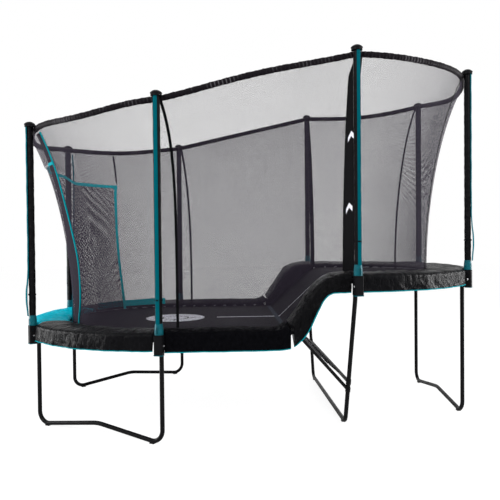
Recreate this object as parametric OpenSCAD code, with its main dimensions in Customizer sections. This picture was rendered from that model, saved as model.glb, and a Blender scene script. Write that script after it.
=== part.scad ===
// Two-level garden trampoline with enclosure net.
// Units are millimetres, +Z is up, the floor is z = 0.
// The plan is a stadium: two half circles joined by straight sides along X.
// The low deck is on the -X side and the high deck on the +X side.

/* [Plan] */
// Radius of the circles that the net poles stand on
post_circle_r = 1400; // [1200:10:1700]
// Half the distance between the two circle centres
half_straight = 815; // [700:5:1100]
// Distance from a pole's axis to the axis of the leg and rail inside it
rail_inset = 52; // [50:1:70]

/* [Levels] */
// Height of the low deck's rail centre line above the floor
deck_low = 865; // [700:5:1000]
// Height of the high deck's rail above the low deck's
deck_step = 458; // [300:2:550]
// Middle of the ramp, measured along X
ramp_mid_x = 415; // [350:5:480]
// Steepest slope of the ramp rails, in degrees
rail_slope = 55; // [45:1:62]
// Bend radius of the ramp rails' centre line
rail_bend_r = 250; // [180:5:300]

/* [Frame tubes] */
// Outside diameter of rails, legs and poles
tube_od = 38; // [32:0.5:42]
// Wall of the steel tubes
tube_wall = 1.5; // [1:0.1:2.5]
// Bend radius of the foot bars
foot_bend_r = 100; // [80:5:140]
// Height of the joint between a leg tube and its foot bar
foot_joint_z = 260; // [220:5:320]
// Slope of a foot bar's arms, in degrees
foot_rise = 7.5; // [4:0.5:9]
// How far the middle legs lean inwards, in degrees
middle_lean = 20.5; // [16:0.5:22]
// Height of the cross bar between the middle legs
cross_bar_z = 420; // [380:5:480]

/* [Poles] */
// Height of the entrance end's pole tops above their rail
rise_entrance = 1900; // [1600:10:2100]
// Height of the low deck's other pole tops above their rail
rise_low = 2020; // [1700:10:2200]
// Height of the high deck's pole tops above their rail
rise_high = 1936; // [1700:10:2100]
// Outside diameter of the foam sleeves
sleeve_od = 60; // [56:1:66]
// Width of the clamps and collars at the poles' feet
clamp_w = 74; // [70:1:80]
// Height of the clamps
clamp_h = 160; // [140:2:180]
// Height of the collars above the clamps
collar_h = 92; // [70:1:110]

/* [Jumping mat] */
// Distance from the rail's centre line in to the mat's edge, which the springs bridge
mat_gap = 273; // [250:1:300]
// Thickness of the woven mat
mat_t = 4; // [3:0.5:6]
// Where the low mat ends and the slope begins, along X
crease_x = 300; // [240:5:340]
// Slope of the mat between the decks, in degrees
mat_slope = 43; // [38:1:48]
// Radius with which the slope runs out into the high mat
mat_bend_r = 350; // [250:10:450]
// How far the mats can be pushed down by a jumper
bounce = 200; // [100:10:220]

/* [Springs] */
// Springs in each sixth of a round end
springs_per_bay = 10; // [6:1:11]
// Outside diameter of a spring's coils
spring_d = 22; // [16:1:26]
// Springs in the row below the mat's crease
panel_springs = 12; // [8:1:12]
// Open curls in each of those springs
panel_curls = 3; // [3:1:4]

/* [Pads] */
// How far the pads reach in over the mat
pad_overlap = 53; // [35:1:65]
// Thickness of a pad at its crown
pad_t = 50; // [30:1:60]
// Depth of the skirts below the rail's centre line
skirt_drop = 112; // [90:2:140]
// Width of the slit between the low pads and the ramp pads
slit_w = 26; // [10:1:40]

/* [Net] */
// Distance of the net's foot in from the mat's edge
net_inset = 75; // [65:1:115]
// Distance from the poles' circle in to the net's top ring
ring_inset = 55; // [54:1:70]
// Height of the top ring below the pole tops
ring_drop = 62; // [58:1:80]
// Outside diameter of the top hem
hem_od = 40; // [32:1:42]
// How far the hem hangs through between the two poles of an end bay
ring_sag = 50; // [0:5:80]
// How far the hem bows out between the poles of a straight side
ring_bow = 60; // [0:5:80]
// Thickness of the net
net_t = 2; // [1.5:0.5:3]
// Width of the webbing straps
strap_w = 42; // [30:1:50]
// Width of the banner strap at the step's front pole
banner_w = 116; // [80:2:140]
// Height of the top of the doorway above the floor
door_top_z = 2300; // [2000:10:2400]
// How far the entrance curtain opens, in degrees
curtain_swing = 55; // [20:1:60]

/* [Hidden] */

// ---- clearances ----
fit = 0.3;            // face to face, at rest
slide_gap = 0.2;      // radial, tube in socket
swage_gap = 0.7;      // radial, stub inside a bent rail
bolt_gap = 0.2;       // radial, bolt in hole
steel_fn = 64;
small_fn = 24;

// ---- derived sizes ----
tube_r = tube_od / 2;
rail_r = post_circle_r - rail_inset;
mat_r = rail_r - mat_gap;
pad_in_r = mat_r - pad_overlap;
net_foot_r = mat_r - net_inset;
socket_r = tube_r + 3;
deck_high = deck_low + deck_step;
clamp_low = skirt_drop;
clamp_up = clamp_h - clamp_low;
collar_top = clamp_up + fit + collar_h;
sleeve_foot = collar_top + fit;
cap_h = 48;
bolt_d = 8;
stub_out = 20;
mat_lift = 7;
hem_r = hem_od / 2;
ring_r0 = post_circle_r - ring_inset;

// ---- the eight poles, in order round the trampoline ----
// each: [end (-1 low, +1 high), angle on its circle, turn of its clamp, rise of its top]
POLES = [
    [-1, 210, 0, rise_entrance], [-1, 270, -15, rise_low], [1, 270, 15, rise_high], [1, 330, 0, rise_high],
    [1, 30, 0, rise_high], [1, 90, -15, rise_high], [-1, 90, 15, rise_low], [-1, 150, 0, rise_entrance]
];
PAIRS = [[0, 1], [6, 7], [3, 4]];

function deck_of(p) = p[0] < 0 ? deck_low : deck_high;
function facing(p) = p[1] + p[2];
function pole_xy(p) = [p[0] * half_straight + post_circle_r * cos(p[1]), post_circle_r * sin(p[1])];
function tee_inset(p) = rail_inset / cos(p[2]);
function tee_xy(p) = pole_xy(p) - tee_inset(p) * [cos(facing(p)), sin(facing(p))];

// ---- the ramp: rise of the rail and of the mat at x ----
rail_straight = (deck_step - 2 * rail_bend_r * (1 - cos(rail_slope))) / sin(rail_slope);
ramp_half = rail_bend_r * sin(rail_slope) + rail_straight * cos(rail_slope) / 2;
ramp_x0 = ramp_mid_x - ramp_half;
ramp_x1 = ramp_mid_x + ramp_half;
arc_run = rail_bend_r * sin(rail_slope);
function rail_rise(x) =
    let (u = x - ramp_x0, v = ramp_x1 - x)
    u <= 0 ? 0 :
    v <= 0 ? deck_step :
    u < arc_run ? rail_bend_r - sqrt(pow(rail_bend_r, 2) - u * u) :
    v < arc_run ? deck_step - rail_bend_r + sqrt(pow(rail_bend_r, 2) - v * v) :
    rail_bend_r * (1 - cos(rail_slope)) + (u - arc_run) * tan(rail_slope);
function rail_angle(x) =
    let (u = x - ramp_x0, v = ramp_x1 - x)
    u <= 0 || v <= 0 ? 0 :
    u < arc_run ? asin(u / rail_bend_r) :
    v < arc_run ? asin(v / rail_bend_r) :
    rail_slope;

mat_straight = (deck_step - mat_bend_r * (1 - cos(mat_slope))) / sin(mat_slope);
slope_x1 = crease_x + mat_straight * cos(mat_slope);
slope_x2 = slope_x1 + mat_bend_r * sin(mat_slope);
function mat_rise(x) =
    x <= crease_x ? 0 :
    x < slope_x1 ? (x - crease_x) * tan(mat_slope) :
    x < slope_x2 ? deck_step - mat_bend_r + sqrt(pow(mat_bend_r, 2) - pow(slope_x2 - x, 2)) :
    deck_step;
function mat_top(x) = deck_low + mat_lift + mat_rise(x);

// ---- the eight bays between poles ----
// each: [end (0 for a straight side), angle at its start, turn or run, index of its first and last pole]
BAYS = [
    [-1, 210, 60, 0, 1], [0, 270, 1, 1, 2], [1, 270, 60, 2, 3], [1, 330, 60, 3, 4],
    [1, 30, 60, 4, 5], [0, 90, -1, 5, 6], [-1, 90, 60, 6, 7], [-1, 150, 60, 7, 0]
];
function bay_angle(b, t) = b[0] == 0 ? b[1] : b[1] + b[2] * t;
function bay_x(b, t) = b[0] == 0 ? b[2] * half_straight * (2 * t - 1) : b[0] * half_straight;
function bay_out(b, t) = [cos(bay_angle(b, t)), sin(bay_angle(b, t))];
function bay_xy(b, t, r) = [bay_x(b, t), 0] + r * bay_out(b, t);
function side_t(b, x) = (b[2] * x / half_straight + 1) / 2;

// ---- general shapes ----
// A closed skin through a row of outlines with the same number of points each.
// A strip's outline runs out along one side and back along the other, and its ends are closed in quads.
module loft(outlines, strip = false) {
    n = len(outlines[0]);
    m = len(outlines);
    // Both skins of a strip fold along the same diagonals, so they never cross.
    sides = [
        for (i = [0:m - 2], j = [0:n - 1])
        let (a = i * n + j, b = i * n + (j + 1) % n)
        each strip && j >= n / 2 ? [[a, b, a + n], [b, b + n, a + n]] : [[a, b, b + n], [a, b + n, a + n]]
    ];
    ends = strip ? [for (j = [0:n / 2 - 2]) [j, j + 1, n - 2 - j, n - 1 - j]] : [[for (j = [0:n - 1]) j]];
    first = [for (f = ends) [for (k = [len(f) - 1:-1:0]) f[k]]];
    last = [for (f = ends) [for (k = f) (m - 1) * n + k]];
    polyhedron([for (o = outlines) each o], concat(sides, first, last), convexity = 6);
}

module ring2d(od, wall) {
    difference() {
        circle(d = od, $fn = steel_fn);
        circle(d = od - 2 * wall, $fn = steel_fn);
    }
}

// A straight tube along +Z, then whatever follows it.
module run(len, od = tube_od, wall = tube_wall) {
    linear_extrude(len) ring2d(od, wall);
    translate([0, 0, len]) children();
}

// A bend of radius r from +Z towards +X, then whatever follows it.
module bend(r, a) {
    translate([r, 0, 0]) rotate([90, 0, 180]) rotate_extrude(angle = a, $fn = 96)
        translate([r, 0]) ring2d(tube_od, tube_wall);
    translate([r, 0, 0]) rotate([0, a, 0]) translate([-r, 0, 0]) children();
}

// Places children with +Z along the line from a to b.
module between(a, b) {
    d = b - a;
    translate(a) rotate([0, acos(d[2] / norm(d)), atan2(d[1], d[0])]) children();
}

module rod(a, b, d) {
    between(a, b) cylinder(d = d, h = norm(b - a), $fn = small_fn);
}

// The hairline between two lengths of a pressed tube.
module seam() {
    translate([0, 0, fit]) children();
}

module rounded_block(x0, x1, w, h, r) {
    translate([x0, -w / 2 + r, 0]) cube([x1 - x0, w - 2 * r, h]);
    translate([x0 + r, -w / 2, 0]) cube([x1 - x0 - 2 * r, w, h]);
    for (x = [x0 + r, x1 - r], y = [-w / 2 + r, w / 2 - r])
        translate([x, y, 0]) cylinder(r = r, h = h, $fn = steel_fn);
}

// Pole frame: +X faces outwards, z = 0 is the rail's centre line.
module at_pole(p) {
    translate([pole_xy(p)[0], pole_xy(p)[1], deck_of(p)]) rotate(facing(p)) children();
}

module at_tee(p) {
    translate([tee_xy(p)[0], tee_xy(p)[1], deck_of(p)]) rotate(facing(p)) children();
}

module tee_bodies() {
    for (p = POLES) at_tee(p) translate([0, 0, -clamp_low]) cylinder(r = socket_r + fit, h = clamp_h, $fn = steel_fn);
}

// ---- rails ----
module arc_rail(b) {
    color([0.08, 0.08, 0.09]) difference() {
        translate([b[0] * half_straight, 0, b[0] < 0 ? deck_low : deck_high]) rotate(b[1])
            rotate_extrude(angle = b[2], $fn = 240) translate([rail_r, 0]) ring2d(tube_od, tube_wall);
        tee_bodies();
    }
}

module rail_left_front() arc_rail(BAYS[0]);
module rail_left_end() arc_rail(BAYS[7]);
module rail_left_back() arc_rail(BAYS[6]);
module rail_right_front() arc_rail(BAYS[2]);
module rail_right_end() arc_rail(BAYS[3]);
module rail_right_back() arc_rail(BAYS[4]);

ramp_joint_x = ramp_x0 - 60;
spigot_l = 45;

module rails_low_straight() {
    color([0.08, 0.08, 0.09]) difference() {
        for (s = [-1, 1]) translate([-middle_x, s * rail_r, deck_low]) rotate([0, 90, 0])
            run(ramp_joint_x + middle_x - fit);
        tee_bodies();
    }
}

// The ramp rail: a spigot that enters the low rail, a straight end, the S bend and a straight end.
module ramp_rail(s) {
    color([0.08, 0.08, 0.09]) difference() {
        translate([ramp_joint_x, s * rail_r, deck_low]) rotate([0, 90, 0]) rotate(180) {
            translate([0, 0, -spigot_l]) run(spigot_l + 20, tube_od - 2 * tube_wall - 2 * slide_gap);
            run(ramp_x0 - ramp_joint_x) bend(rail_bend_r, rail_slope) run(rail_straight) rotate(180)
                bend(rail_bend_r, rail_slope) run(middle_x - ramp_x1);
        }
        tee_bodies();
    }
}

module rail_ramp_front() ramp_rail(-1);
module rail_ramp_back() ramp_rail(1);

// ---- tee sockets: the leg enters from below, the rails slide over the side stubs ----
socket_floor = -socket_r - 3;

module tee_sockets() {
    color([0.10, 0.10, 0.11]) for (p = POLES) at_tee(p) difference() {
        union() {
            translate([0, 0, -clamp_low]) cylinder(r = socket_r, h = clamp_low + tube_r + 2, $fn = steel_fn);
            rotate(-p[2]) for (s = [-1, 1]) rotate([-s * 90, 0, 0])
                cylinder(r = tube_r - tube_wall - swage_gap, h = socket_r + stub_out, $fn = steel_fn);
        }
        translate([0, 0, -clamp_low - 1]) cylinder(r = tube_r + slide_gap, h = clamp_low + 1 + socket_floor, $fn = steel_fn);
        translate([0, 0, screw_z]) rotate([0, 90, 0])
            cylinder(d = bolt_d + 2 * bolt_gap, h = 3 * socket_r, center = true, $fn = small_fn);
    }
}

// ---- legs ----
screw_z = -clamp_low + 26;
leg_top = socket_floor - 1;

module screw_hole() {
    translate([0, 0, screw_z]) rotate([0, 90, 0])
        cylinder(d = bolt_d + 2 * bolt_gap, h = 2 * tube_od, center = true, $fn = small_fn);
}

// Length of a middle leg below its bend, down to the foot joint.
lean_start = clamp_low + 20;
lean_drop = deck_high - lean_start - foot_bend_r * sin(middle_lean) - foot_joint_z;
lean_len = lean_drop / cos(middle_lean);

module middle_leg() {
    translate([0, 0, leg_top]) rotate([180, 0, 0]) run(lean_start + leg_top - fit) seam()
        bend(foot_bend_r, middle_lean) seam() run(lean_len - 2 * fit);
}

module leg_tubes() {
    color([0.06, 0.06, 0.07]) {
        for (i = [0, 1, 3, 4, 6, 7]) at_tee(POLES[i]) difference() {
            translate([0, 0, foot_joint_z + fit - deck_of(POLES[i])])
                run(deck_of(POLES[i]) - foot_joint_z - fit + leg_top);
            screw_hole();
        }
        for (i = [2, 5]) at_tee(POLES[i]) difference() {
            rotate(180 - facing(POLES[i]) + sign(pole_xy(POLES[i])[1]) * 90) middle_leg();
            screw_hole();
        }
    }
}

swage_l = 60;
swage_od = tube_od - 2 * tube_wall - 2 * slide_gap;
crest_r = 400;
bar_z = tube_r + 3;

// A foot bar between two upright legs: spigot, upright, foot bend, arm, crest, and the same back up.
module w_foot(pair) {
    a = tee_xy(POLES[pair[0]]);
    b = tee_xy(POLES[pair[1]]);
    start = foot_bend_r * (1 + sin(foot_rise));
    arm = (norm(b - a) / 2 - start - crest_r * sin(foot_rise)) / cos(foot_rise) - 2 * fit;
    upright = foot_joint_z - foot_bend_r - bar_z;
    color([0.06, 0.06, 0.07]) translate([a[0], a[1], foot_joint_z])
        rotate(atan2(b[1] - a[1], b[0] - a[0])) rotate([180, 0, 0]) {
            translate([0, 0, -swage_l]) run(swage_l + 15, swage_od);
            run(upright) bend(foot_bend_r, 90 + foot_rise) seam() run(arm) seam() rotate(180)
                bend(crest_r, 2 * foot_rise) seam() run(arm) seam() rotate(180)
                bend(foot_bend_r, 90 + foot_rise) seam() run(upright - fit)
                translate([0, 0, -15]) run(swage_l + 15, swage_od);
        }
}

module foot_bar_left_front() w_foot(PAIRS[0]);
module foot_bar_left_back() w_foot(PAIRS[1]);
module foot_bar_right() w_foot(PAIRS[2]);

// Where a middle leg's axis is at height z, measured from the trampoline's centre line.
middle_x = tee_xy(POLES[2])[0];
function middle_y(z) =
    rail_r - foot_bend_r * (1 - cos(middle_lean))
    - (deck_high - lean_start - foot_bend_r * sin(middle_lean) - z) * tan(middle_lean);
middle_down = (foot_joint_z - bar_z - foot_bend_r * (1 - sin(middle_lean))) / cos(middle_lean);
middle_foot_y = middle_y(foot_joint_z) - middle_down * sin(middle_lean) - foot_bend_r * cos(middle_lean);

module foot_bar_middle() {
    color([0.06, 0.06, 0.07]) for (s = [-1, 1])
        translate([middle_x, s * middle_y(foot_joint_z), foot_joint_z]) rotate(-s * 90) rotate([0, 180, 0]) rotate(180)
            rotate([0, middle_lean, 0]) {
                translate([0, 0, -swage_l]) run(swage_l + 15, swage_od);
                run(middle_down) bend(foot_bend_r, 90 - middle_lean) run(middle_foot_y);
            }
}

// Rubber pads under the foot bars where they stand on the ground.
pad_l = 44;
pad_w = 34;
pad_side = 9;

module foot_pads() {
    color([0.03, 0.03, 0.03]) {
        for (pair = PAIRS, ends = [[pair[0], pair[1]], [pair[1], pair[0]]]) {
            a = tee_xy(POLES[ends[0]]);
            b = tee_xy(POLES[ends[1]]);
            translate([a[0], a[1], 0]) rotate(atan2(b[1] - a[1], b[0] - a[0])) difference() {
                translate([foot_bend_r - pad_l / 2, -pad_w / 2, 0]) cube([pad_l, pad_w, pad_side]);
                translate([foot_bend_r, 0, bar_z + foot_bend_r]) rotate([90, 0, 0]) rotate_extrude($fn = 96)
                    translate([foot_bend_r, 0]) circle(r = tube_r + fit, $fn = steel_fn);
            }
        }
        for (s = [-1, 1]) translate([middle_x, s * (middle_foot_y - pad_l / 2 - 2), 0]) difference() {
            translate([-pad_w / 2, -pad_l / 2, 0]) cube([pad_w, pad_l, pad_side]);
            translate([0, 0, bar_z]) rotate([90, 0, 0])
                cylinder(r = tube_r + fit, h = 2 * pad_l, center = true, $fn = steel_fn);
        }
    }
}

// ---- cross bar and braces ----
collar_l = 44;

module tube_clamp(a, b, l) {
    between(a, b) translate([0, 0, -l / 2]) difference() {
        cylinder(r = tube_r + 4, h = l, $fn = steel_fn);
        translate([0, 0, -1]) cylinder(r = tube_r + fit, h = l + 2, $fn = steel_fn);
    }
}

function leg_point(s, z) = [middle_x, s * middle_y(z), z];

module cross_bar() {
    color([0.07, 0.07, 0.08]) {
        difference() {
            translate([middle_x, -middle_y(cross_bar_z), cross_bar_z]) rotate([-90, 0, 0])
                run(2 * middle_y(cross_bar_z), tube_od - 6);
            for (s = [-1, 1]) between(leg_point(s, cross_bar_z - 60), leg_point(s, cross_bar_z + 60))
                cylinder(r = tube_r + 2, h = 400, center = true, $fn = steel_fn);
        }
        for (s = [-1, 1]) tube_clamp(leg_point(s, cross_bar_z), leg_point(s, cross_bar_z + 10), collar_l);
    }
}

brace_foot_z = 345;
brace_top_x = 290;
brace_r = 15;
function ramp_point(s, x) = [x, s * rail_r, deck_low + rail_rise(x)];
function ramp_dir(x) = [cos(rail_angle(x)), 0, sin(rail_angle(x))];

module brace(s) {
    a = leg_point(s, brace_foot_z);
    b = ramp_point(s, brace_top_x);
    leg_way = leg_point(s, brace_foot_z + 10) - a;
    color([0.07, 0.07, 0.08]) {
        difference() {
            between(a, b) difference() {
                cylinder(r = brace_r, h = norm(b - a), $fn = steel_fn);
                translate([0, 0, 40]) cylinder(r = brace_r - 1.5, h = norm(b - a) - 80, $fn = steel_fn);
            }
            between(a, a + leg_way) cylinder(r = tube_r + 2, h = 200, center = true, $fn = steel_fn);
            between(b, b + ramp_dir(brace_top_x)) cylinder(r = tube_r + 1.8, h = 200, center = true, $fn = steel_fn);
        }
        tube_clamp(a, a + leg_way, 36);
        between(b, b + ramp_dir(brace_top_x)) translate([0, 0, -12]) difference() {
            cylinder(r = tube_r + 2.7, h = 24, $fn = steel_fn);
            translate([0, 0, -1]) cylinder(r = tube_r + 0.6, h = 26, $fn = steel_fn);
        }
    }
}

module braces() {
    brace(-1);
    brace(1);
}

// ---- pole feet ----
clamp_x0 = -31;
clamp_x1 = clamp_w / 2;
bolt_z = -40;
pole_foot = -clamp_low + 10;
pole_gap = slide_gap;

module pole_bolt_hole() {
    translate([0, 0, bolt_z]) rotate([90, 0, 0])
        cylinder(d = bolt_d + 2 * bolt_gap, h = 2 * clamp_w, center = true, $fn = small_fn);
}

module pole_clamps() {
    color([0.05, 0.05, 0.055]) for (p = POLES) at_pole(p) difference() {
        translate([0, 0, -clamp_low]) rounded_block(clamp_x0, clamp_x1, clamp_w, clamp_h, 14);
        translate([0, 0, pole_foot - fit]) cylinder(r = tube_r + pole_gap, h = clamp_h, $fn = steel_fn);
        translate([-tee_inset(p), 0, -clamp_low - 1]) cylinder(r = socket_r + fit, h = clamp_h + 2, $fn = steel_fn);
        pole_bolt_hole();
        rotate(-p[2]) translate([-rail_inset, 0, 0]) rotate([90, 0, 0])
            cylinder(r = tube_r + 2, h = 3 * clamp_w, center = true, $fn = steel_fn);
        translate([-tee_inset(p), 0, screw_z]) rotate([0, 90, 0])
            cylinder(d = bolt_d + 2 * bolt_gap, h = tee_inset(p) - tube_r, $fn = small_fn);
        // moulded side grooves
        for (s = [-1, 1], z = [-90, 10]) translate([-14, s * clamp_w / 2, z]) rotate([0, 90, 0])
            cylinder(r = 2.5, h = 32, $fn = small_fn);
    }
}

module clamp_trims() {
    color([0, 0.42, 0.47]) for (p = POLES) at_pole(p) difference() {
        translate([0, 0, -clamp_low - 7]) rounded_block(clamp_x0 + 4, clamp_x1 + 2, clamp_w + 4, 7 - fit, 14);
        translate([-tee_inset(p), 0, -clamp_low - 8]) cylinder(r = socket_r + 1, h = 10, $fn = steel_fn);
    }
}

module pole_bolts() {
    color([0.6, 0.6, 0.62]) for (p = POLES) at_pole(p) translate([0, 0, bolt_z]) rotate([90, 0, 0]) {
        translate([0, 0, -clamp_w / 2 - 9]) cylinder(d = bolt_d, h = clamp_w + 11, $fn = small_fn);
        translate([0, 0, clamp_w / 2 + fit]) intersection() {
            cylinder(r = 9, h = 5, $fn = small_fn);
            translate([0, 0, -8]) sphere(r = 12.5, $fn = 48);
        }
        translate([0, 0, -clamp_w / 2 - 7]) cylinder(r = 7.5, h = 6.5, $fn = 6);
    }
}

module leg_bolts() {
    color([0.6, 0.6, 0.62]) for (p = POLES) at_tee(p) translate([0, 0, screw_z]) rotate([0, 90, 0]) {
        translate([0, 0, -socket_r - 1]) cylinder(d = bolt_d, h = socket_r + tee_inset(p) - tube_r - 1, $fn = small_fn);
        translate([0, 0, -socket_r - 6]) cylinder(r = 7.5, h = 5.5, $fn = 6);
    }
}

module frame_bolts() {
    pole_bolts();
    leg_bolts();
}

// ---- poles and what is on them ----
module poles() {
    color([0.12, 0.12, 0.13]) for (p = POLES) at_pole(p) difference() {
        translate([0, 0, pole_foot]) run(p[3] - 14 - pole_foot);
        pole_bolt_hole();
    }
}

module pole_collars() {
    color([0, 0.45, 0.5]) for (p = POLES) at_pole(p) translate([0, 0, clamp_up + fit]) difference() {
        rotate_extrude($fn = 96) polygon([
                [tube_r + pole_gap, 0], [clamp_w / 2 - 4, 0], [clamp_w / 2 - 1, 3], [clamp_w / 2 - 1, collar_h * 0.45],
                [clamp_w / 2 - 3, collar_h * 0.7], [sleeve_od / 2 + 1.5, collar_h * 0.95],
                [sleeve_od / 2 + 0.5, collar_h], [tube_r + pole_gap, collar_h]
            ]);
        // dark keyhole window on the outboard side
        translate([tube_r + 7, 0, collar_h * 0.55]) rotate([0, 90, 0]) cylinder(r = 13, h = 30, $fn = 48);
        translate([tube_r + 7, -8, collar_h * 0.12]) cube([30, 16, collar_h * 0.4]);
    }
}

function sleeve_len(p) = p[3] - cap_h - sleeve_foot - fit;

module pole_sleeves() {
    color([0.07, 0.07, 0.08]) for (p = POLES) at_pole(p) translate([0, 0, sleeve_foot])
        linear_extrude(sleeve_len(p)) difference() {
            circle(d = sleeve_od, $fn = steel_fn);
            circle(r = tube_r + fit, $fn = steel_fn);
        }
}

strip_t = 5.5;
strip_half = 34;

module pole_strips() {
    color([0, 0.38, 0.43]) for (p = POLES) at_pole(p) translate([0, 0, sleeve_foot])
        rotate(-strip_half) rotate_extrude(angle = 2 * strip_half, $fn = 96)
            translate([sleeve_od / 2 + fit, 0]) square([strip_t, sleeve_len(p)]);
}

tie_z = sleeve_foot + 190;

module sleeve_ties() {
    color([0.03, 0.03, 0.03]) for (p = POLES) at_pole(p) translate([0, 0, tie_z]) difference() {
        cylinder(r = sleeve_od / 2 + strip_t + 2.6, h = 14, $fn = steel_fn);
        translate([0, 0, -1]) cylinder(r = sleeve_od / 2 + strip_t + 2 * fit, h = 16, $fn = steel_fn);
    }
}

eye_r = hem_r + 4;
eye_t = 3.5;

module cap_dome() {
    rotate_extrude($fn = 96) union() {
        translate([0, -cap_h]) square([46, 24]);
        translate([0, -cap_h + 20]) intersection() {
            translate([0, -36]) circle(r = 64, $fn = 128);
            square([49, 40]);
        }
    }
}

module pole_caps() {
    color([0.04, 0.04, 0.045]) for (p = POLES) at_pole(p) translate([0, 0, p[3]]) difference() {
        union() {
            difference() {
                cap_dome();
                // room for the hem where it passes the cap's skirt
                rotate(-p[2]) translate([-ring_inset, 0, -ring_drop]) rotate([90, 0, 0])
                    cylinder(r = hem_r + 8, h = 3 * cap_h, center = true, $fn = steel_fn);
            }
            // eye round the top hem, on a short nose
            rotate(-p[2]) translate([-ring_inset, 0, -ring_drop]) rotate([90, 0, 0])
                rotate_extrude($fn = 64) translate([eye_r, 0]) circle(r = eye_t, $fn = 24);
            rotate(-p[2]) translate([-ring_inset - 8, -6, -cap_h + 9]) cube([30, 12, 11]);
        }
        translate([0, 0, -cap_h - 1]) cylinder(r = tube_r + pole_gap, h = cap_h - 12, $fn = steel_fn);
        translate([0, 0, -cap_h - 60]) cylinder(r = sleeve_od / 2 + fit, h = 60, $fn = steel_fn);
    }
}

// ---- jumping mat ----
bed_low = deck_low + mat_lift - mat_t;

module mat_low() {
    color([0.15, 0.14, 0.16]) translate([0, 0, bed_low]) linear_extrude(mat_t) union() {
        intersection() {
            translate([-half_straight, 0]) circle(r = mat_r, $fn = 240);
            translate([-half_straight - 2 * mat_r, -2 * mat_r]) square([2 * mat_r, 4 * mat_r]);
        }
        translate([-half_straight, -mat_r]) square([half_straight + crease_x - mat_t, 2 * mat_r]);
    }
}

high_x0 = slope_x2 + fit;

module mat_high() {
    color([0.15, 0.14, 0.16]) translate([0, 0, bed_low + deck_step]) linear_extrude(mat_t) intersection() {
        translate([half_straight, 0]) circle(r = mat_r, $fn = 240);
        translate([high_x0, -2 * mat_r]) square([2 * mat_r, 4 * mat_r]);
    }
}

// Side outline of the sloping mat: the straight slope, then the run-out curve.
slope_steps = 10;
function slope_edge(r) = [
    for (i = [0:slope_steps])
    let (a = mat_slope * (1 - i / slope_steps))
    [slope_x2 - r * sin(a), deck_step - mat_bend_r + r * cos(a)]
];

module slope_outline() {
    under = slope_edge(mat_bend_r - mat_t);
    polygon(concat(
        [[crease_x, 0]], slope_edge(mat_bend_r), [for (i = [slope_steps:-1:0]) under[i]],
        [[crease_x + mat_t * sin(mat_slope), -mat_t * cos(mat_slope)]]
    ));
}

module mat_slope_panel() {
    color([0.14, 0.13, 0.15]) translate([0, mat_r, deck_low + mat_lift]) rotate([90, 0, 0])
        linear_extrude(2 * mat_r) slope_outline();
}

tape_w = 46;

module crease_tape() {
    color([0.27, 0.29, 0.33]) translate([crease_x - tape_w - mat_t, -net_foot_r + 30, bed_low + mat_t + 0.1])
        cube([tape_w, 2 * net_foot_r - 60, 1]);
}

// ---- springs and rings all round ----
ring_out = 26;
ring_wire = 5;
rail_hook_r = rail_r - tube_r - fit;

// Directions of the springs round one bay: [angle, t] at even steps.
function bay_steps(n) = [for (i = [0:n - 1]) (i + 0.5) / n];
SIDE_XS_LOW = [for (i = [0:8]) -half_straight + (i + 0.5) * (crease_x + half_straight) / 9];
SIDE_XS_SLOPE = [for (i = [0:4]) crease_x + 100 + i * (slope_x2 - crease_x - 158) / 4];
function on_high_mat(b, t) = b[0] < 0 || bay_xy(b, t, mat_r)[0] > slope_x2;

// A triangular wire ring lying flat, its base against the mat and its tip outwards.
module mat_ring(foot, out) {
    translate([foot[0], foot[1], -ring_wire / 2]) rotate(atan2(out[1], out[0])) linear_extrude(ring_wire) difference() {
        polygon([[0, -17], [0, 17], [ring_out + 4, 5], [ring_out + 4, -5]]);
        polygon([[ring_wire, -11], [ring_wire, 11], [ring_out - 1, 3], [ring_out - 1, -3]]);
    }
}

module rings_in(bays, z) {
    for (b = bays, t = bay_steps(springs_per_bay)) if (on_high_mat(BAYS[b], t)) translate([0, 0, z])
        mat_ring(bay_xy(BAYS[b], t, mat_r + fit), bay_out(BAYS[b], t));
}

ring_z = bed_low + mat_t / 2;

module mat_rings_low() {
    color([0.6, 0.6, 0.62]) {
        rings_in([0, 6, 7], ring_z);
        for (x = SIDE_XS_LOW, s = [-1, 1]) translate([0, 0, ring_z])
            mat_ring([x, s * (mat_r + fit)], [0, s]);
    }
}

module mat_rings_high() {
    color([0.6, 0.6, 0.62]) rings_in([2, 3, 4], ring_z + deck_step);
}

// One spring from a ring's tip to the rail: hook, coil barrel, hook.
module spring_link(a, b) {
    hook = 30;
    l = norm(b - a);
    between(a, b) {
        cylinder(d = 5, h = hook + 1, $fn = 8);
        translate([0, 0, hook]) cylinder(d = spring_d, h = l - 2 * hook, $fn = 12);
        translate([0, 0, l - hook - 1]) cylinder(d = 5, h = hook + 1, $fn = 8);
    }
}

module springs_in(bays, z_mat, z_rail) {
    for (b = bays, t = bay_steps(springs_per_bay)) if (on_high_mat(BAYS[b], t)) {
        a = bay_xy(BAYS[b], t, mat_r + ring_out + ring_wire);
        c = bay_xy(BAYS[b], t, rail_hook_r);
        spring_link([a[0], a[1], z_mat], [c[0], c[1], z_rail]);
    }
}

module springs_low() {
    color([0.62, 0.62, 0.64]) {
        springs_in([0, 6, 7], ring_z, deck_low);
        for (x = SIDE_XS_LOW, s = [-1, 1]) spring_link(
            [x, s * (mat_r + ring_out + ring_wire), ring_z],
            [x, s * rail_hook_r, deck_low + rail_rise(x)]
        );
    }
}

module springs_high() {
    color([0.62, 0.62, 0.64]) springs_in([2, 3, 4], ring_z + deck_step, deck_high);
}

// Springs of the sloping mat lead to the steeper rail, which is a little ahead of it.
function slope_rail_x(x) = crease_x + 16 + (x - SIDE_XS_SLOPE[0]) * 0.875;

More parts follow.
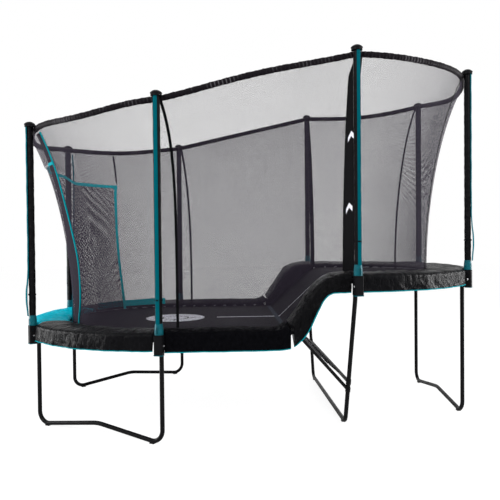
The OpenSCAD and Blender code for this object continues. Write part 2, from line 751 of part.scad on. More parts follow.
module springs_slope() {
    color([0.62, 0.62, 0.64]) for (x = SIDE_XS_SLOPE, s = [-1, 1]) {
        xr = slope_rail_x(x);
        foot = [x, s * (mat_r + fit + 2.4), mat_top(x) - mat_t];
        rail_end = [xr, s * rail_hook_r, deck_low + rail_rise(xr)];
        way = (rail_end - foot) / norm(rail_end - foot);
        spring_link(foot, rail_end - 1.3 * way);
    }
}

// ---- tension panel below the crease, and its springs ----
panel_half = 880;
panel_top = [crease_x + 4, deck_low + mat_lift - 5];
bar_at = [middle_x, cross_bar_z];
panel_way = (bar_at - panel_top) / norm(bar_at - panel_top);
panel_spring_l = 175;
panel_l = norm(bar_at - panel_top) - tube_r + 3 - fit - panel_spring_l;
panel_tilt = atan2(-panel_way[1], panel_way[0]);

// Panel frame: +X down the panel, +Y across, +Z out of it.
module on_panel() {
    translate([panel_top[0], 0, panel_top[1]]) rotate([0, panel_tilt, 0]) children();
}

module tension_panel() {
    color([0.08, 0.08, 0.09]) on_panel() {
        translate([0, -panel_half, -1.5]) cube([panel_l - 10, 2 * panel_half, 3]);
        translate([panel_l - 10, -panel_half, 0]) rotate([-90, 0, 0]) cylinder(r = 10, h = 2 * panel_half, $fn = 32);
    }
}

coil_r = 9;
coil_wire = 2.2;
coil_l = 70;
coil_steps = 8;

// Wire of a panel spring: hook, open curls, hook, as points along +X.
function panel_spring_path(n) =
    let (x0 = (panel_spring_l - coil_l) / 2, m = n * coil_steps)
    concat(
        [[0.5, 0, 0], [x0 - 8, 0, 0]],
        [for (i = [0:m]) [x0 + coil_l * i / m, coil_r * cos(i * 360 / coil_steps), coil_r * sin(i * 360 / coil_steps)]],
        [[panel_spring_l - x0 + 8, 0, 0], [panel_spring_l - 0.5, 0, 0]]
    );

// Least gap between one curl's wire and the next, as the tube is drawn.
echo(curl_gap = coil_l / panel_curls - 2 * coil_wire);

function unit(v) = v / norm(v);
function path_dir(p, i) = unit(p[min(i + 1, len(p) - 1)] - p[max(i - 1, 0)]);

// A tube of given radius along the points, with its sections turned about a fixed side direction.
module wire_tube(path, r, sides) {
    loft([
        for (i = [0:len(path) - 1])
        let (d = path_dir(path, i), u = unit(cross(d, abs(d[2]) > 0.9 ? [0, 1, 0] : [0, 0, 1])), v = cross(d, u))
        [for (k = [0:sides - 1]) path[i] + r * (cos(k * 360 / sides) * u + sin(k * 360 / sides) * v)]
    ]);
}

module springs_tension() {
    color([0.62, 0.62, 0.64]) on_panel() for (i = [0:panel_springs - 1])
        translate([panel_l, -panel_half + 60 + i * (2 * panel_half - 120) / (panel_springs - 1), 0])
            wire_tube(panel_spring_path(panel_curls), coil_wire, 6);
}

// ---- pads: a crowned cushion over springs and rail, with a hanging skirt outside ----
pad_foot = tube_r + 3;
skirt_r = rail_r + tube_r + 9;

// Section of a pad as [radius, height above the rail].
// k is 1 where the skirt hangs, 0.5 where it is cut away and 0 beside a pole, where the pad is cut back too.
function pad_section(k, fold) =
    let (out_r = k > 0 ? skirt_r + 12 : rail_r + 10, hang = k == 1)
    [
        [pad_in_r + 4, pad_foot - 1], [pad_in_r, pad_foot + 10], [pad_in_r + 16, pad_foot + 26],
        [pad_in_r + 110, pad_foot + pad_t * 0.86], [pad_in_r + 220, pad_foot + pad_t],
        [out_r - 34, pad_foot + pad_t * 0.84], [out_r, pad_foot + 14],
        hang ? [out_r + fold * 0.6, -skirt_drop * 0.35] : [out_r, pad_foot + 8],
        hang ? [out_r + fold, -skirt_drop] : [out_r - 2, pad_foot + 2],
        hang ? [out_r - 6 + fold, -skirt_drop] : [out_r - 7, pad_foot + 1],
        hang ? [out_r - 6 + fold * 0.6, -skirt_drop * 0.35] : [out_r - 9, pad_foot + 0.6],
        hang ? [skirt_r + 4, pad_foot - 4] : [out_r - 12, pad_foot],
        hang ? [skirt_r - 6, pad_foot] : [out_r - 20, pad_foot]
    ];

// Folds of the skirt: two waves of different length along the edge.
function skirt_fold(s) = 4 * sin(s * 1.21) + 3 * sin(s * 0.53 + 70);

function pad_point(b, t, rz) =
    let (
        c = bay_xy(b, t, 0), o = bay_out(b, t), x = c[0],
        a = b[0] == 0 ? rail_angle(x) : 0,
        z = b[0] == 0 ? deck_low + rail_rise(x) : (b[0] < 0 ? deck_low : deck_high)
    )
    [c[0] + rz[0] * o[0] - rz[1] * sin(a), rz[0] * o[1], z + rz[1] * cos(a)];

slit_half = 46;
bay_len = rail_r * PI / 3;

// A pad over the bay from t0 to t1, n steps long; cut0 and cut1 say where a pole cuts its skirt away.
module pad(b, t0, t1, n, cut0, cut1, l) {
    e = slit_half / l;
    a = cut0 ? t0 + e + 6 / l : t0;
    c = cut1 ? t1 - e - 6 / l : t1;
    stops = concat(
        cut0 ? [[t0, 0], [t0 + e, 0], [t0 + e + 2 / l, 0.5], [a, 1]] : [[t0, 1]],
        [for (i = [1:n - 1]) [a + (c - a) * i / n, 1]],
        cut1 ? [[c, 1], [t1 - e - 2 / l, 0.5], [t1 - e, 0], [t1, 0]] : [[t1, 1]]
    );
    loft([for (s = stops) [for (q = pad_section(s[1], skirt_fold(s[0] * l))) pad_point(b, s[0], q)]]);
}

pad_end = 1 / bay_len;
pad_steps = 13;

module bay_pad(i) pad(BAYS[i], pad_end, 1 - pad_end, pad_steps, true, true, bay_len);

module pads_left_front() color([0.1, 0.1, 0.11]) bay_pad(0);
module pad_entrance() color([0, 0.72, 0.81]) bay_pad(7);
module pads_left_back() color([0.1, 0.1, 0.11]) bay_pad(6);
module pads_right_front() color([0.1, 0.1, 0.11]) bay_pad(2);
module pad_right_end() color([0.1, 0.1, 0.11]) bay_pad(3);
module pads_right_back() color([0.1, 0.1, 0.11]) bay_pad(4);

slit_x = ramp_mid_x - 130;
side_len = 2 * half_straight;

module side_pad(b, x0, x1, n, cut0, cut1) {
    pad(b, side_t(b, x0), side_t(b, x1), n, cut0, cut1, side_len);
}

module pads_low_sides() color([0.1, 0.1, 0.11]) {
    side_pad(BAYS[1], -half_straight + 1, slit_x - slit_w / 2, 12, true, false);
    side_pad(BAYS[5], slit_x - slit_w / 2, -half_straight + 1, 12, false, true);
}

module pads_ramp() color([0.1, 0.1, 0.11]) {
    side_pad(BAYS[1], slit_x + slit_w / 2, half_straight - 1, 16, false, true);
    side_pad(BAYS[5], half_straight - 1, slit_x + slit_w / 2, 16, true, false);
}

// ---- enclosure net ----
function pole_top(p) = deck_of(p) + p[3] - ring_drop;
// Share of the sag in each bay, by its first pole. The rods spring up a little along the straight sides.
SAG_SHARES = [0.9, -0.2, 0.2, 1, 0.25, -0.2, 0.4, 1];
function bow(b, t) = b[0] == 0 ? ring_bow * pow(sin(180 * t), 2) : 0;
function ring_top(b, t) =
    let (z0 = pole_top(POLES[b[3]]), z1 = pole_top(POLES[b[4]]))
    z0 + (z1 - z0) * t - SAG_SHARES[b[3]] * ring_sag * pow(sin(180 * t), 2);
function ring_rad(b, t) = ring_r0 + bow(b, t);

// Radius of the net at height share h of its way from mat to ring.
function net_rad(b, t, h) =
    let (flare = ring_r0 - net_foot_r)
    net_foot_r + 0.87 * flare * h * h + (0.13 * flare + bow(b, t)) * pow(h, 8);
// On a straight side the foot stays a little clear of the curved part of the mat.
function net_foot_z(b, t) =
    b[0] == 0 ? mat_top(bay_x(b, t)) + (bay_x(b, t) > crease_x + 1 ? 5 : fit) :
    (b[0] < 0 ? deck_low : deck_high) + mat_lift + fit;
function net_head_z(b, t) = ring_top(b, t) - hem_r - fit;
function net_z(b, t, h) = net_foot_z(b, t) + h * (net_head_z(b, t) - net_foot_z(b, t));
function net_h(b, t, z) = (z - net_foot_z(b, t)) / (net_head_z(b, t) - net_foot_z(b, t));

function net_point(b, t, h, off) =
    let (q = bay_xy(b, t, net_rad(b, t, h) + off)) [q[0], q[1], net_z(b, t, h)];

// The net is drawn on a grid. Its rows are closer together near the top, where it flares.
net_rows = 6;
net_end = 4.2 / bay_len;
NET_ROWS = [for (j = [0:net_rows]) 1 - pow(1 - j / net_rows, 1.5)];
ARC_STOPS = [for (i = [0:8]) net_end + (1 - 2 * net_end) * i / 8];
SIDE_XS = [-half_straight + 4.2, -540, -260, 20, crease_x, slope_x1, slope_x1 + 75, half_straight - 4.2];
function net_stops(b) =
    b[0] != 0 ? ARC_STOPS :
    b[2] > 0 ? [for (x = SIDE_XS) side_t(b, x)] :
    [for (i = [len(SIDE_XS) - 1:-1:0]) side_t(b, SIDE_XS[i])];
function lerp(p, q, s) = p + (q - p) * s;
function cell(list, v, i = 0) = i >= len(list) - 2 || v <= list[i + 1] ? i : cell(list, v, i + 1);

// Point of the drawn net's surface, between the grid's points.
function net_surf(b, t, h, off) =
    let (
        ts = net_stops(b), i = cell(ts, t), j = cell(NET_ROWS, h),
        u = (t - ts[i]) / (ts[i + 1] - ts[i]),
        v = (h - NET_ROWS[j]) / (NET_ROWS[j + 1] - NET_ROWS[j]),
        low = lerp(net_point(b, ts[i], NET_ROWS[j], off), net_point(b, ts[i + 1], NET_ROWS[j], off), u),
        high = lerp(net_point(b, ts[i], NET_ROWS[j + 1], off), net_point(b, ts[i + 1], NET_ROWS[j + 1], off), u)
    )
    lerp(low, high, v);

// A sheet of thickness w on the net's surface, moved off outwards.
// stops holds [bay, t] pairs and rows holds shares of the height.
module sheet(stops, rows, off, w) {
    m = len(rows) - 1;
    loft([
        for (q = stops) concat(
            [for (h = rows) net_surf(q[0], q[1], h, off + w)],
            [for (j = [m:-1:0]) net_surf(q[0], q[1], rows[j], off)]
        )
    ], true);
}

module net_bay(i, rows = NET_ROWS)
    color([0.35, 0.34, 0.37]) sheet([for (t = net_stops(BAYS[i])) [BAYS[i], t]], rows, 0, net_t);

function top_rows(b, z) = let (h = net_h(b, 0.5, z)) concat([h], [for (r = NET_ROWS) if (r > h + 0.02) r]);

module net_left_front() net_bay(0);
module net_left_back() net_bay(6);
module net_right_front() net_bay(2);
module net_right_end() net_bay(3);
module net_right_back() net_bay(4);
module net_front() net_bay(1);
module net_back() net_bay(5);
module net_entrance_top() net_bay(7, top_rows(BAYS[7], door_top_z + 6));

// Top hem: an open loop of cloth round the ring rod, slit below for the net.
hem_wall = 3;
rod_r = 7;
function hem_section(b, t) =
    let (o = bay_out(b, t), c = bay_xy(b, t, ring_rad(b, t)), z = ring_top(b, t))
    concat(
        [for (k = [0:7]) let (a = -86 + k * 352 / 7)
            [c[0] + hem_r * cos(a) * o[0], c[1] + hem_r * cos(a) * o[1], z + hem_r * sin(a)]],
        [for (k = [7:-1:0]) let (a = -86 + k * 352 / 7, r = hem_r - hem_wall)
            [c[0] + r * cos(a) * o[0], c[1] + r * cos(a) * o[1], z + r * sin(a)]]
    );

module net_hem() color([0.12, 0.12, 0.13])
    for (b = BAYS) loft([for (t = net_stops(b)) hem_section(b, t)], true);

function ring_point(b, t) = let (q = bay_xy(b, t, ring_rad(b, t))) [q[0], q[1], ring_top(b, t) + hem_r - hem_wall - rod_r - 1.2];

module ring_rods() color([0.3, 0.3, 0.3])
    for (b = BAYS) wire_tube([for (t = net_stops(b)) ring_point(b, t)], rod_r, 6);

// Webbing straps on the outside of the net at the poles, and the one that holds the curtain's corner.
strap_t = 3;
strap_off = net_t + 0.95;
hanger_t = (127 - 90) / 60;
strap_rows = [for (j = [0:net_rows]) j < net_rows ? NET_ROWS[j] : 0.975];
function strap_width(pole) = pole == 2 ? banner_w : pole == 5 ? 2 * strap_w : strap_w;
function bay_run(b) = b[0] == 0 ? side_len : bay_len;

module net_straps() color([0.05, 0.05, 0.05]) {
    for (pole = [1:6]) {
        a = BAYS[pole - 1];
        c = BAYS[pole];
        w = strap_width(pole) / 2;
        sheet([[a, 1 - w / bay_run(a)], [a, max(net_stops(a))], [c, min(net_stops(c))], [c, w / bay_run(c)]],
            strap_rows, strap_off, strap_t);
    }
    sheet([[BAYS[6], 1 - strap_w / 2 / bay_len], [BAYS[6], 1 - net_end]], strap_rows, strap_off, strap_t);
    sheet([[BAYS[0], net_end], [BAYS[0], strap_w / 2 / bay_len]], strap_rows, strap_off, strap_t);
    sheet([[BAYS[6], hanger_t - 0.018], [BAYS[6], hanger_t + 0.006]],
        [for (j = [4:net_rows]) NET_ROWS[j]], strap_off, strap_t);
}

// Entrance curtain: a second layer inside the net, from beside the first pole to past the last one.
// It is drawn on a grid of its own, numbered from the hinge edge.
curtain_off = -14;
curtain_a0 = 207;
curtain_a1 = 127;
curtain_n = 12;
curtain_foot = deck_low + mat_lift + 14;
curtain_head = door_top_z - 3;
CURTAIN_ZS = [for (j = [0:5]) curtain_foot + (curtain_head - curtain_foot) * j / 5];

function curtain_node(i, z, off) =
    let (
        a = curtain_a0 + (curtain_a1 - curtain_a0) * i / curtain_n,
        b = a > 150 ? BAYS[7] : BAYS[6],
        t = a > 150 ? (a - 150) / 60 : (a - 90) / 60,
        q = bay_xy(b, t, net_rad(b, t, net_h(b, t, z)) + off)
    )
    [q[0], q[1], z];
function curtain_surf(u, z, off) =
    let (
        i = min(max(floor(u), 0), curtain_n - 1), j = cell(CURTAIN_ZS, z),
        z0 = CURTAIN_ZS[j], z1 = CURTAIN_ZS[j + 1],
        low = lerp(curtain_node(i, z0, off), curtain_node(i + 1, z0, off), u - i),
        high = lerp(curtain_node(i, z1, off), curtain_node(i + 1, z1, off), u - i)
    )
    lerp(low, high, (z - z0) / (z1 - z0));

module curtain_sheet(us, zs, off, w) {
    m = len(zs) - 1;
    loft([
        for (u = us) concat(
            [for (z = zs) curtain_surf(u, z, off)],
            [for (j = [m:-1:0]) curtain_surf(u, zs[j], off + w)]
        )
    ], true);
}

module entrance_curtain() color([0.25, 0.25, 0.28])
    curtain_sheet([for (i = [0:curtain_n]) i], CURTAIN_ZS, curtain_off, net_t);

trim_w = 42;
trim_t = 3;
trim_off = curtain_off - 0.9 - trim_t;
trim_u = trim_w / (net_foot_r * PI / 180) / (curtain_a0 - curtain_a1) * curtain_n;
edge_zs = concat([for (j = [0:4]) CURTAIN_ZS[j]], [curtain_head - trim_w - fit]);

// Binding of the curtain: along its top and down its free edge.
module curtain_trim() color([0, 0.5, 0.54]) {
    curtain_sheet([for (i = [0:curtain_n]) i], [curtain_head - trim_w, curtain_head], trim_off, trim_t);
    curtain_sheet([curtain_n - trim_u, curtain_n], edge_zs, trim_off, trim_t);
}

// Sewn seam at the first pole, in a piece that the curtain's edge turns beside.
seam_u0 = -3.155 * curtain_n / (curtain_a0 - curtain_a1);
seam_u1 = -0.03 * curtain_n / (curtain_a0 - curtain_a1);

// Fixed trims of the doorway: the seam, and the band low down behind the curtain.
module door_trims() color([0, 0.6, 0.64]) {
    curtain_sheet([seam_u0, seam_u1], CURTAIN_ZS, curtain_off, net_t - curtain_off);
    h = net_h(BAYS[6], 0.5, deck_low + mat_lift + 30);
    sheet([for (t = net_stops(BAYS[6])) if (t > 0.15 && t < 0.97) [BAYS[6], t]], [h, h + 0.03], strap_off, strap_t);
}

// ---- assembly ----
rail_left_front();
rail_left_end();
rail_left_back();
rail_right_front();
rail_right_end();
rail_right_back();
rails_low_straight();
rail_ramp_front();
rail_ramp_back();
tee_sockets();
leg_tubes();
foot_bar_left_front();
foot_bar_left_back();
foot_bar_right();
foot_bar_middle();
foot_pads();
cross_bar();
braces();
pole_clamps();
clamp_trims();
frame_bolts();
poles();
pole_sleeves();
pole_strips();
pole_collars();
pole_caps();
sleeve_ties();
mat_low();
mat_high();
mat_slope_panel();
crease_tape();
tension_panel();
mat_rings_low();
mat_rings_high();
springs_low();
springs_high();
springs_slope();
springs_tension();
pads_left_front();
pad_entrance();
pads_left_back();
pads_low_sides();
pads_ramp();
pads_right_front();
pad_right_end();
pads_right_back();
net_left_front();
net_entrance_top();
net_left_back();
net_front();
net_back();
net_right_front();
net_right_end();
net_right_back();
net_hem();
ring_rods();
net_straps();
door_trims();
entrance_curtain();
curtain_trim();
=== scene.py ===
"""Two-level trampoline with pads, poles and a net, built round its packed steel frame."""

import math

import bmesh
import bpy
import numpy as np
from bpy.props import FloatProperty, FloatVectorProperty, PointerProperty
from mathutils import Matrix, Vector


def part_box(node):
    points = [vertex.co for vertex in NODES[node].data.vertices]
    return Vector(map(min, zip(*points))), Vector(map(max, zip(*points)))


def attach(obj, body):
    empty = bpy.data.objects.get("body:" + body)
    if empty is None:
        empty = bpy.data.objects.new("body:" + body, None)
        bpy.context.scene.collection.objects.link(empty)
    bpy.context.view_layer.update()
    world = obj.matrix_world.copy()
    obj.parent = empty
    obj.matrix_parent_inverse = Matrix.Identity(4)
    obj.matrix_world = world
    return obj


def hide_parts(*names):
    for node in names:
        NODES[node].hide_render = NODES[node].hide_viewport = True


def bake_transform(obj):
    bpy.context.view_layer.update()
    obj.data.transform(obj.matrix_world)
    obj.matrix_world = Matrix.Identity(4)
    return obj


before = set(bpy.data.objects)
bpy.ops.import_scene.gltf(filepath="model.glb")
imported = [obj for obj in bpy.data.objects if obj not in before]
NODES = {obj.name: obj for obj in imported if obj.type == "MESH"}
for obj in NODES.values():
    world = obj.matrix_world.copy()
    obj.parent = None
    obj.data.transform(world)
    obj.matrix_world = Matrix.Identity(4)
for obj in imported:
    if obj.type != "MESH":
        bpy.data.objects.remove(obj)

bl_info = {
    "name": "Two-Level Trampoline",
    "version": (1, 0, 0),
    "blender": (4, 5, 0),
    "location": "View3D > Sidebar > Trampoline",
    "description": "Builds the cloth, pads, springs and finishes of a two-level trampoline on its steel frame",
    "category": "Add Mesh",
}

ROOT, LOW, HIGH, CURTAIN = "frame_and_net", "low_mat", "high_mat", "curtain"

# ---- sizes of the frame, in metres ----
TUBE_R = 0.019
HALF = 0.815  # from the middle to the centre of each round end
POST_R = 1.400  # radius of the circle of poles
RAIL_R = 1.348  # radius of the rails' centre line
LOW_DECK = round(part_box("rail_left_front")[1].z - TUBE_R, 4)
HIGH_DECK = round(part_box("rail_right_front")[1].z - TUBE_R, 4)
STEP = HIGH_DECK - LOW_DECK
RAMP_MID, RAMP_ANGLE, RAMP_BEND = 0.415, math.radians(55), 0.250  # the climbing rail's middle, slope and bends
MAT_R, MAT_T, MAT_LIFT = 1.075, 0.004, 0.007  # half width, thickness, and height of its top over the rails
CREASE_X, MAT_ANGLE, MAT_BEND = 0.300, math.radians(43), 0.350  # where the mat starts to climb, its slope and bend
PAD_FOOT, SKIRT_R = 0.022, 1.376  # a pad's underside over the rail, and the radius of its skirt
SKIRT_ARC, SKIRT_SIDE = 0.084, 0.096  # depth of the skirts below the rail, round the ends and along the sides
SLEEVE_FOOT, CAP_H = 0.1406, 0.048  # foot of a sleeve over its deck, and height of a cap
NET_FOOT_R, RING_R, RING_DROP, HEM_R = 1.000, 1.345, 0.062, 0.020
RING_SAG, RING_BOW = 0.050, 0.060  # how far the ring hangs and bulges between two poles
SAG_SHARES = (0.9, -0.2, 0.2, 1, 0.25, -0.2, 0.4, 1)  # share of the sag after each pole
DOOR_TOP = 2.300
DOWN = np.array([0, 0, -1.0])
POLES = np.array([  # end of the oval, angle, turn, height over its deck
    [-1, 210, 0, 1.900], [-1, 270, -15, 2.020], [1, 270, 15, 1.936], [1, 330, 0, 1.936],
    [1, 30, 0, 1.936], [1, 90, -15, 1.936], [-1, 90, 15, 2.020], [-1, 150, 0, 1.900],
])
BAYS = [  # end of the oval or 0 for a straight side, angle, span or way, first pole, last pole
    (-1, 210, 60, 0, 1), (0, 270, 1, 1, 2), (1, 270, 60, 2, 3), (1, 330, 60, 3, 4),
    (1, 30, 60, 4, 5), (0, 90, -1, 5, 6), (-1, 90, 60, 6, 7), (-1, 150, 60, 7, 0),
]
ARC_LEN = RAIL_R * math.pi / 3
SIDE_LEN = 2 * HALF
RAMP_X0 = RAMP_MID - (STEP - 2 * RAMP_BEND * (1 - math.cos(RAMP_ANGLE))) / math.tan(RAMP_ANGLE) / 2 \
    - RAMP_BEND * math.sin(RAMP_ANGLE)
RAMP_X1 = 2 * RAMP_MID - RAMP_X0
SLOPE_H1 = STEP - MAT_BEND * (1 - math.cos(MAT_ANGLE))
SLOPE_X1 = CREASE_X + SLOPE_H1 / math.tan(MAT_ANGLE)
SLOPE_X2 = SLOPE_X1 + MAT_BEND * math.sin(MAT_ANGLE)


# ---- curves that the pieces follow ----
def rail_rise(x):
    """Height of the ramp rail over the low deck: arc of radius RAMP_BEND, straight, arc back."""
    u, v = np.maximum(x - RAMP_X0, 0), np.maximum(RAMP_X1 - x, 0)
    reach = RAMP_BEND * math.sin(RAMP_ANGLE)
    first = RAMP_BEND - np.sqrt(np.maximum(RAMP_BEND**2 - np.minimum(u, reach) ** 2, 0))
    last = STEP - RAMP_BEND + np.sqrt(np.maximum(RAMP_BEND**2 - np.minimum(v, reach) ** 2, 0))
    middle = RAMP_BEND * (1 - math.cos(RAMP_ANGLE)) + (u - reach) * math.tan(RAMP_ANGLE)
    return np.where(u <= reach, first, np.where(v <= reach, last, middle))


def rail_angle(x):
    """Slope angle of the ramp rail: arcsine of the way into a bend over its radius."""
    u, v = np.clip(x - RAMP_X0, 0, None), np.clip(RAMP_X1 - x, 0, None)
    top = math.sin(RAMP_ANGLE)
    return np.arcsin(np.minimum(np.minimum(u, v) / RAMP_BEND, top))


def mat_rise(x):
    """Height of the mat over the low mat: level, straight slope, then an arc of radius MAT_BEND to level."""
    slope = (x - CREASE_X) * math.tan(MAT_ANGLE)
    arc = STEP - MAT_BEND + np.sqrt(np.maximum(MAT_BEND**2 - np.clip(SLOPE_X2 - x, 0, MAT_BEND) ** 2, 0))
    return np.where(x <= CREASE_X, 0, np.where(x < SLOPE_X1, slope, np.where(x < SLOPE_X2, arc, STEP)))


def mat_top(x):
    """Height of the mat's upper face at x."""
    return LOW_DECK + MAT_LIFT + mat_rise(x)


def bay_way(bay, t):
    """Centre x and outward direction angle at share t of a bay."""
    end, angle, way = bay[:3]
    if end == 0:
        return way * HALF * (2 * t - 1), np.full_like(t, math.radians(angle))
    return np.full_like(t, end * HALF), np.radians(angle + way * t)


def bay_spot(bay, t, r, z):
    """Point at share t of a bay, radius r and height z, for whole arrays."""
    t, r, z = np.broadcast_arrays(np.asarray(t, float), r, z)
    cx, a = bay_way(bay, t)
    return np.stack([cx + r * np.cos(a), r * np.sin(a), z], -1)


def side_t(bay, x):
    """Share of a straight bay at x."""
    return (bay[2] * x / HALF + 1) / 2


def pole_top(p):
    """Height of the ring's centre at a pole: its deck, and the pole's height less the drop."""
    return (LOW_DECK if POLES[p, 0] < 0 else HIGH_DECK) + POLES[p, 3] - RING_DROP


def bow(bay, t):
    """The ring bulges outwards along both straight sides, as sine squared."""
    return RING_BOW * np.sin(math.pi * t) ** 2 if bay[0] == 0 else 0 * t


def ring_z(bay, t):
    """Height of the ring's centre: straight between the poles less a sag, as sine squared."""
    z0, z1 = pole_top(bay[3]), pole_top(bay[4])
    return z0 + (z1 - z0) * t - SAG_SHARES[bay[3]] * RING_SAG * np.sin(math.pi * t) ** 2


def net_radius(bay, t, h):
    """Radius of the net at height share h: square flare over most of its way, with a fast flare at the ring."""
    flare = RING_R - NET_FOOT_R
    return NET_FOOT_R + 0.87 * flare * h**2 + (0.13 * flare + bow(bay, t)) * h**8


def net_foot(bay, t):
    """Height of the net's foot: just over the mat along the sides, and level round the ends."""
    if bay[0] == 0:
        x = bay[2] * HALF * (2 * t - 1)
        return mat_top(x) + 0.002
    return (LOW_DECK if bay[0] < 0 else HIGH_DECK) + MAT_LIFT + 0.001 + 0 * t


def net_head(bay, t):
    """Height of the net's head, just inside the hem."""
    return ring_z(bay, t) - HEM_R + 0.002


def net_spot(bay, t, h, off=0.0):
    """Point of the net at share t of a bay and height share h, moved off outwards."""
    t, h = np.broadcast_arrays(np.asarray(t, float), np.asarray(h, float))
    z0, z1 = net_foot(bay, t), net_head(bay, t)
    return bay_spot(bay, t, net_radius(bay, t, h) + off, z0 + h * (z1 - z0))


def net_share(bay, t, z):
    """Height share of the net at height z: the way from its foot over the way to its head."""
    z0, z1 = net_foot(bay, t), net_head(bay, t)
    return (z - z0) / (z1 - z0)


def pole_frame(p):
    """4x4 placing +X outwards at a pole's foot on its deck level."""
    end, angle, turn = POLES[p, :3]
    a, f = math.radians(angle), math.radians(angle + turn)
    x, y = end * HALF + POST_R * math.cos(a), POST_R * math.sin(a)
    z = LOW_DECK if end < 0 else HIGH_DECK
    return Matrix.Translation((x, y, z)) @ Matrix.Rotation(f, 4, "Z")


def placed(matrix, points):
    """The points, turned and moved by a 4x4."""
    m = np.array(matrix)
    return points @ m[:3, :3].T + m[:3, 3]


def waves(s, terms):
    """Sum of sines: amplitude, length of the wave in metres, and phase for each term."""
    return sum(a * np.sin(2 * math.pi * s / length + phase) for a, length, phase in terms)


def creases(s, terms):
    """Sum of sharp folds: one less the absolute sine, to the given power, for each term."""
    return sum(
        a * (1 - np.abs(np.sin(math.pi * s / length + phase))) ** power
        for a, length, phase, power in terms
    )


# ---- meshes from whole arrays of points ----
class Skin:
    """Joins grids of points into one mesh. A grid is rows by columns by 3, and either way may be a loop."""

    def __init__(self):
        self.points, self.faces, self.uvs, self.slots, self.count = [], [], [], [], 0

    def grid(self, points, loop_rows=False, loop_cols=False, uv=None, slot=0):
        """uv has one more row or column than the points where that way is a loop."""
        n, m = points.shape[:2]
        rows, cols = n if loop_rows else n - 1, m if loop_cols else m - 1
        i, j = np.meshgrid(np.arange(rows), np.arange(cols), indexing="ij")
        corners = [(i, j), (i + 1, j), (i + 1, j + 1), (i, j + 1)]
        quads = np.stack([(a % n) * m + b % m for a, b in corners], -1).reshape(-1, 4)
        if uv is None:
            uv = np.stack(np.meshgrid(np.arange(rows + 1) * 0.01, np.arange(cols + 1) * 0.01, indexing="ij"), -1)
        self.uvs.append(np.stack([uv[a, b] for a, b in corners], -2).reshape(-1, 2))
        self.faces.append(quads + self.count)
        self.slots.append(np.full(len(quads), slot))
        self.points.append(points.reshape(-1, 3))
        self.count += n * m

    def disc(self, ring, slot=0):
        """Closes a ring of points with a fan round its middle, as thin quads folded to triangles."""
        middle = ring.mean(0)
        inner = np.repeat(middle[None], len(ring), 0)
        self.grid(np.stack([ring, inner], 0), loop_cols=True, slot=slot)

    def tube(self, rings, uv=None, slot=0, closed=True):
        """A skin through rings of points, with its ends closed."""
        self.grid(rings, loop_cols=True, uv=uv, slot=slot)
        if closed:
            self.disc(rings[0], slot)
            self.disc(rings[-1], slot)

    def cloth(self, points, normals, thick, uv, slot=0):
        """A closed thin sheet: the points, and the same moved by thick along the normals, sewn round the edge."""
        back = points + normals * thick
        shell = np.concatenate([points, back[:, ::-1]], 1)
        around = np.concatenate([uv, uv[:, ::-1], uv[:, :1]], 1)
        self.grid(shell, loop_cols=True, uv=around, slot=slot)
        for k in (0, -1):
            rim = np.stack([points[k], back[k]], 0)
            self.grid(rim, uv=np.stack([uv[k], uv[k]], 0), slot=slot)

    def build(self, name, *materials, sharp=50):
        """Makes the object, with doubles merged, faces outwards, and edges over sharp degrees kept hard."""
        points, quads = np.concatenate(self.points), np.concatenate(self.faces)
        uvs, slots = np.concatenate(self.uvs), np.concatenate(self.slots)
        mesh = bpy.data.meshes.new(name)
        mesh.vertices.add(len(points))
        mesh.vertices.foreach_set("co", points.astype(np.float32).ravel())
        mesh.loops.add(quads.size)
        mesh.loops.foreach_set("vertex_index", quads.astype(np.int32).ravel())
        mesh.polygons.add(len(quads))
        mesh.polygons.foreach_set("loop_start", np.arange(0, quads.size, 4, dtype=np.int32))
        mesh.polygons.foreach_set("material_index", slots.astype(np.int32))
        mesh.uv_layers.new(name="Cloth").data.foreach_set("uv", uvs.astype(np.float32).ravel())
        mesh.update(calc_edges=True)
        mesh.validate()
        bm = bmesh.new()
        bm.from_mesh(mesh)
        bmesh.ops.remove_doubles(bm, verts=bm.verts, dist=2e-5)
        bmesh.ops.dissolve_degenerate(bm, edges=bm.edges, dist=1e-6)
        bmesh.ops.recalc_face_normals(bm, faces=bm.faces)
        bm.to_mesh(mesh)
        bm.free()
        for m in materials:
            mesh.materials.append(m)
        mesh.shade_smooth()
        mesh.set_sharp_from_angle(angle=math.radians(sharp))
        obj = bpy.data.objects.new(name, mesh)
        bpy.context.scene.collection.objects.link(obj)
        return obj


def sweep(path, radius, sides, side_way=(0, 0, 1), squash=1.0):
    """Rings round a path: radius times (cosine of N + sine of B), N square to the path in the plane of side_way."""
    way = np.gradient(path, axis=0)
    way /= np.linalg.norm(way, axis=1, keepdims=True)
    side = np.broadcast_to(np.asarray(side_way, float), path.shape)
    b = np.cross(way, side)
    b /= np.linalg.norm(b, axis=1, keepdims=True)
    n = np.cross(b, way)
    a = np.linspace(0, 2 * math.pi, sides, endpoint=False)
    radius = np.broadcast_to(np.asarray(radius, float), path.shape[:1])[:, None, None]
    return path[:, None] + radius * (
        squash * np.cos(a)[None, :, None] * n[:, None] + np.sin(a)[None, :, None] * b[:, None]
    )


def normals_of(points):
    """Cross product of the grid's two differences, made one long."""
    n = np.cross(np.gradient(points, axis=0), np.gradient(points, axis=1))
    return n / np.maximum(np.linalg.norm(n, axis=-1, keepdims=True), 1e-12)


def lengths_uv(points):
    """UV in metres: the running length along the middle row and along the middle column."""
    n, m = points.shape[:2]
    down = np.r_[0, np.cumsum(np.linalg.norm(np.diff(points[:, m // 2], axis=0), axis=1))]
    across = np.r_[0, np.cumsum(np.linalg.norm(np.diff(points[n // 2], axis=0), axis=1))]
    return np.stack(np.meshgrid(down, across, indexing="ij"), -1)


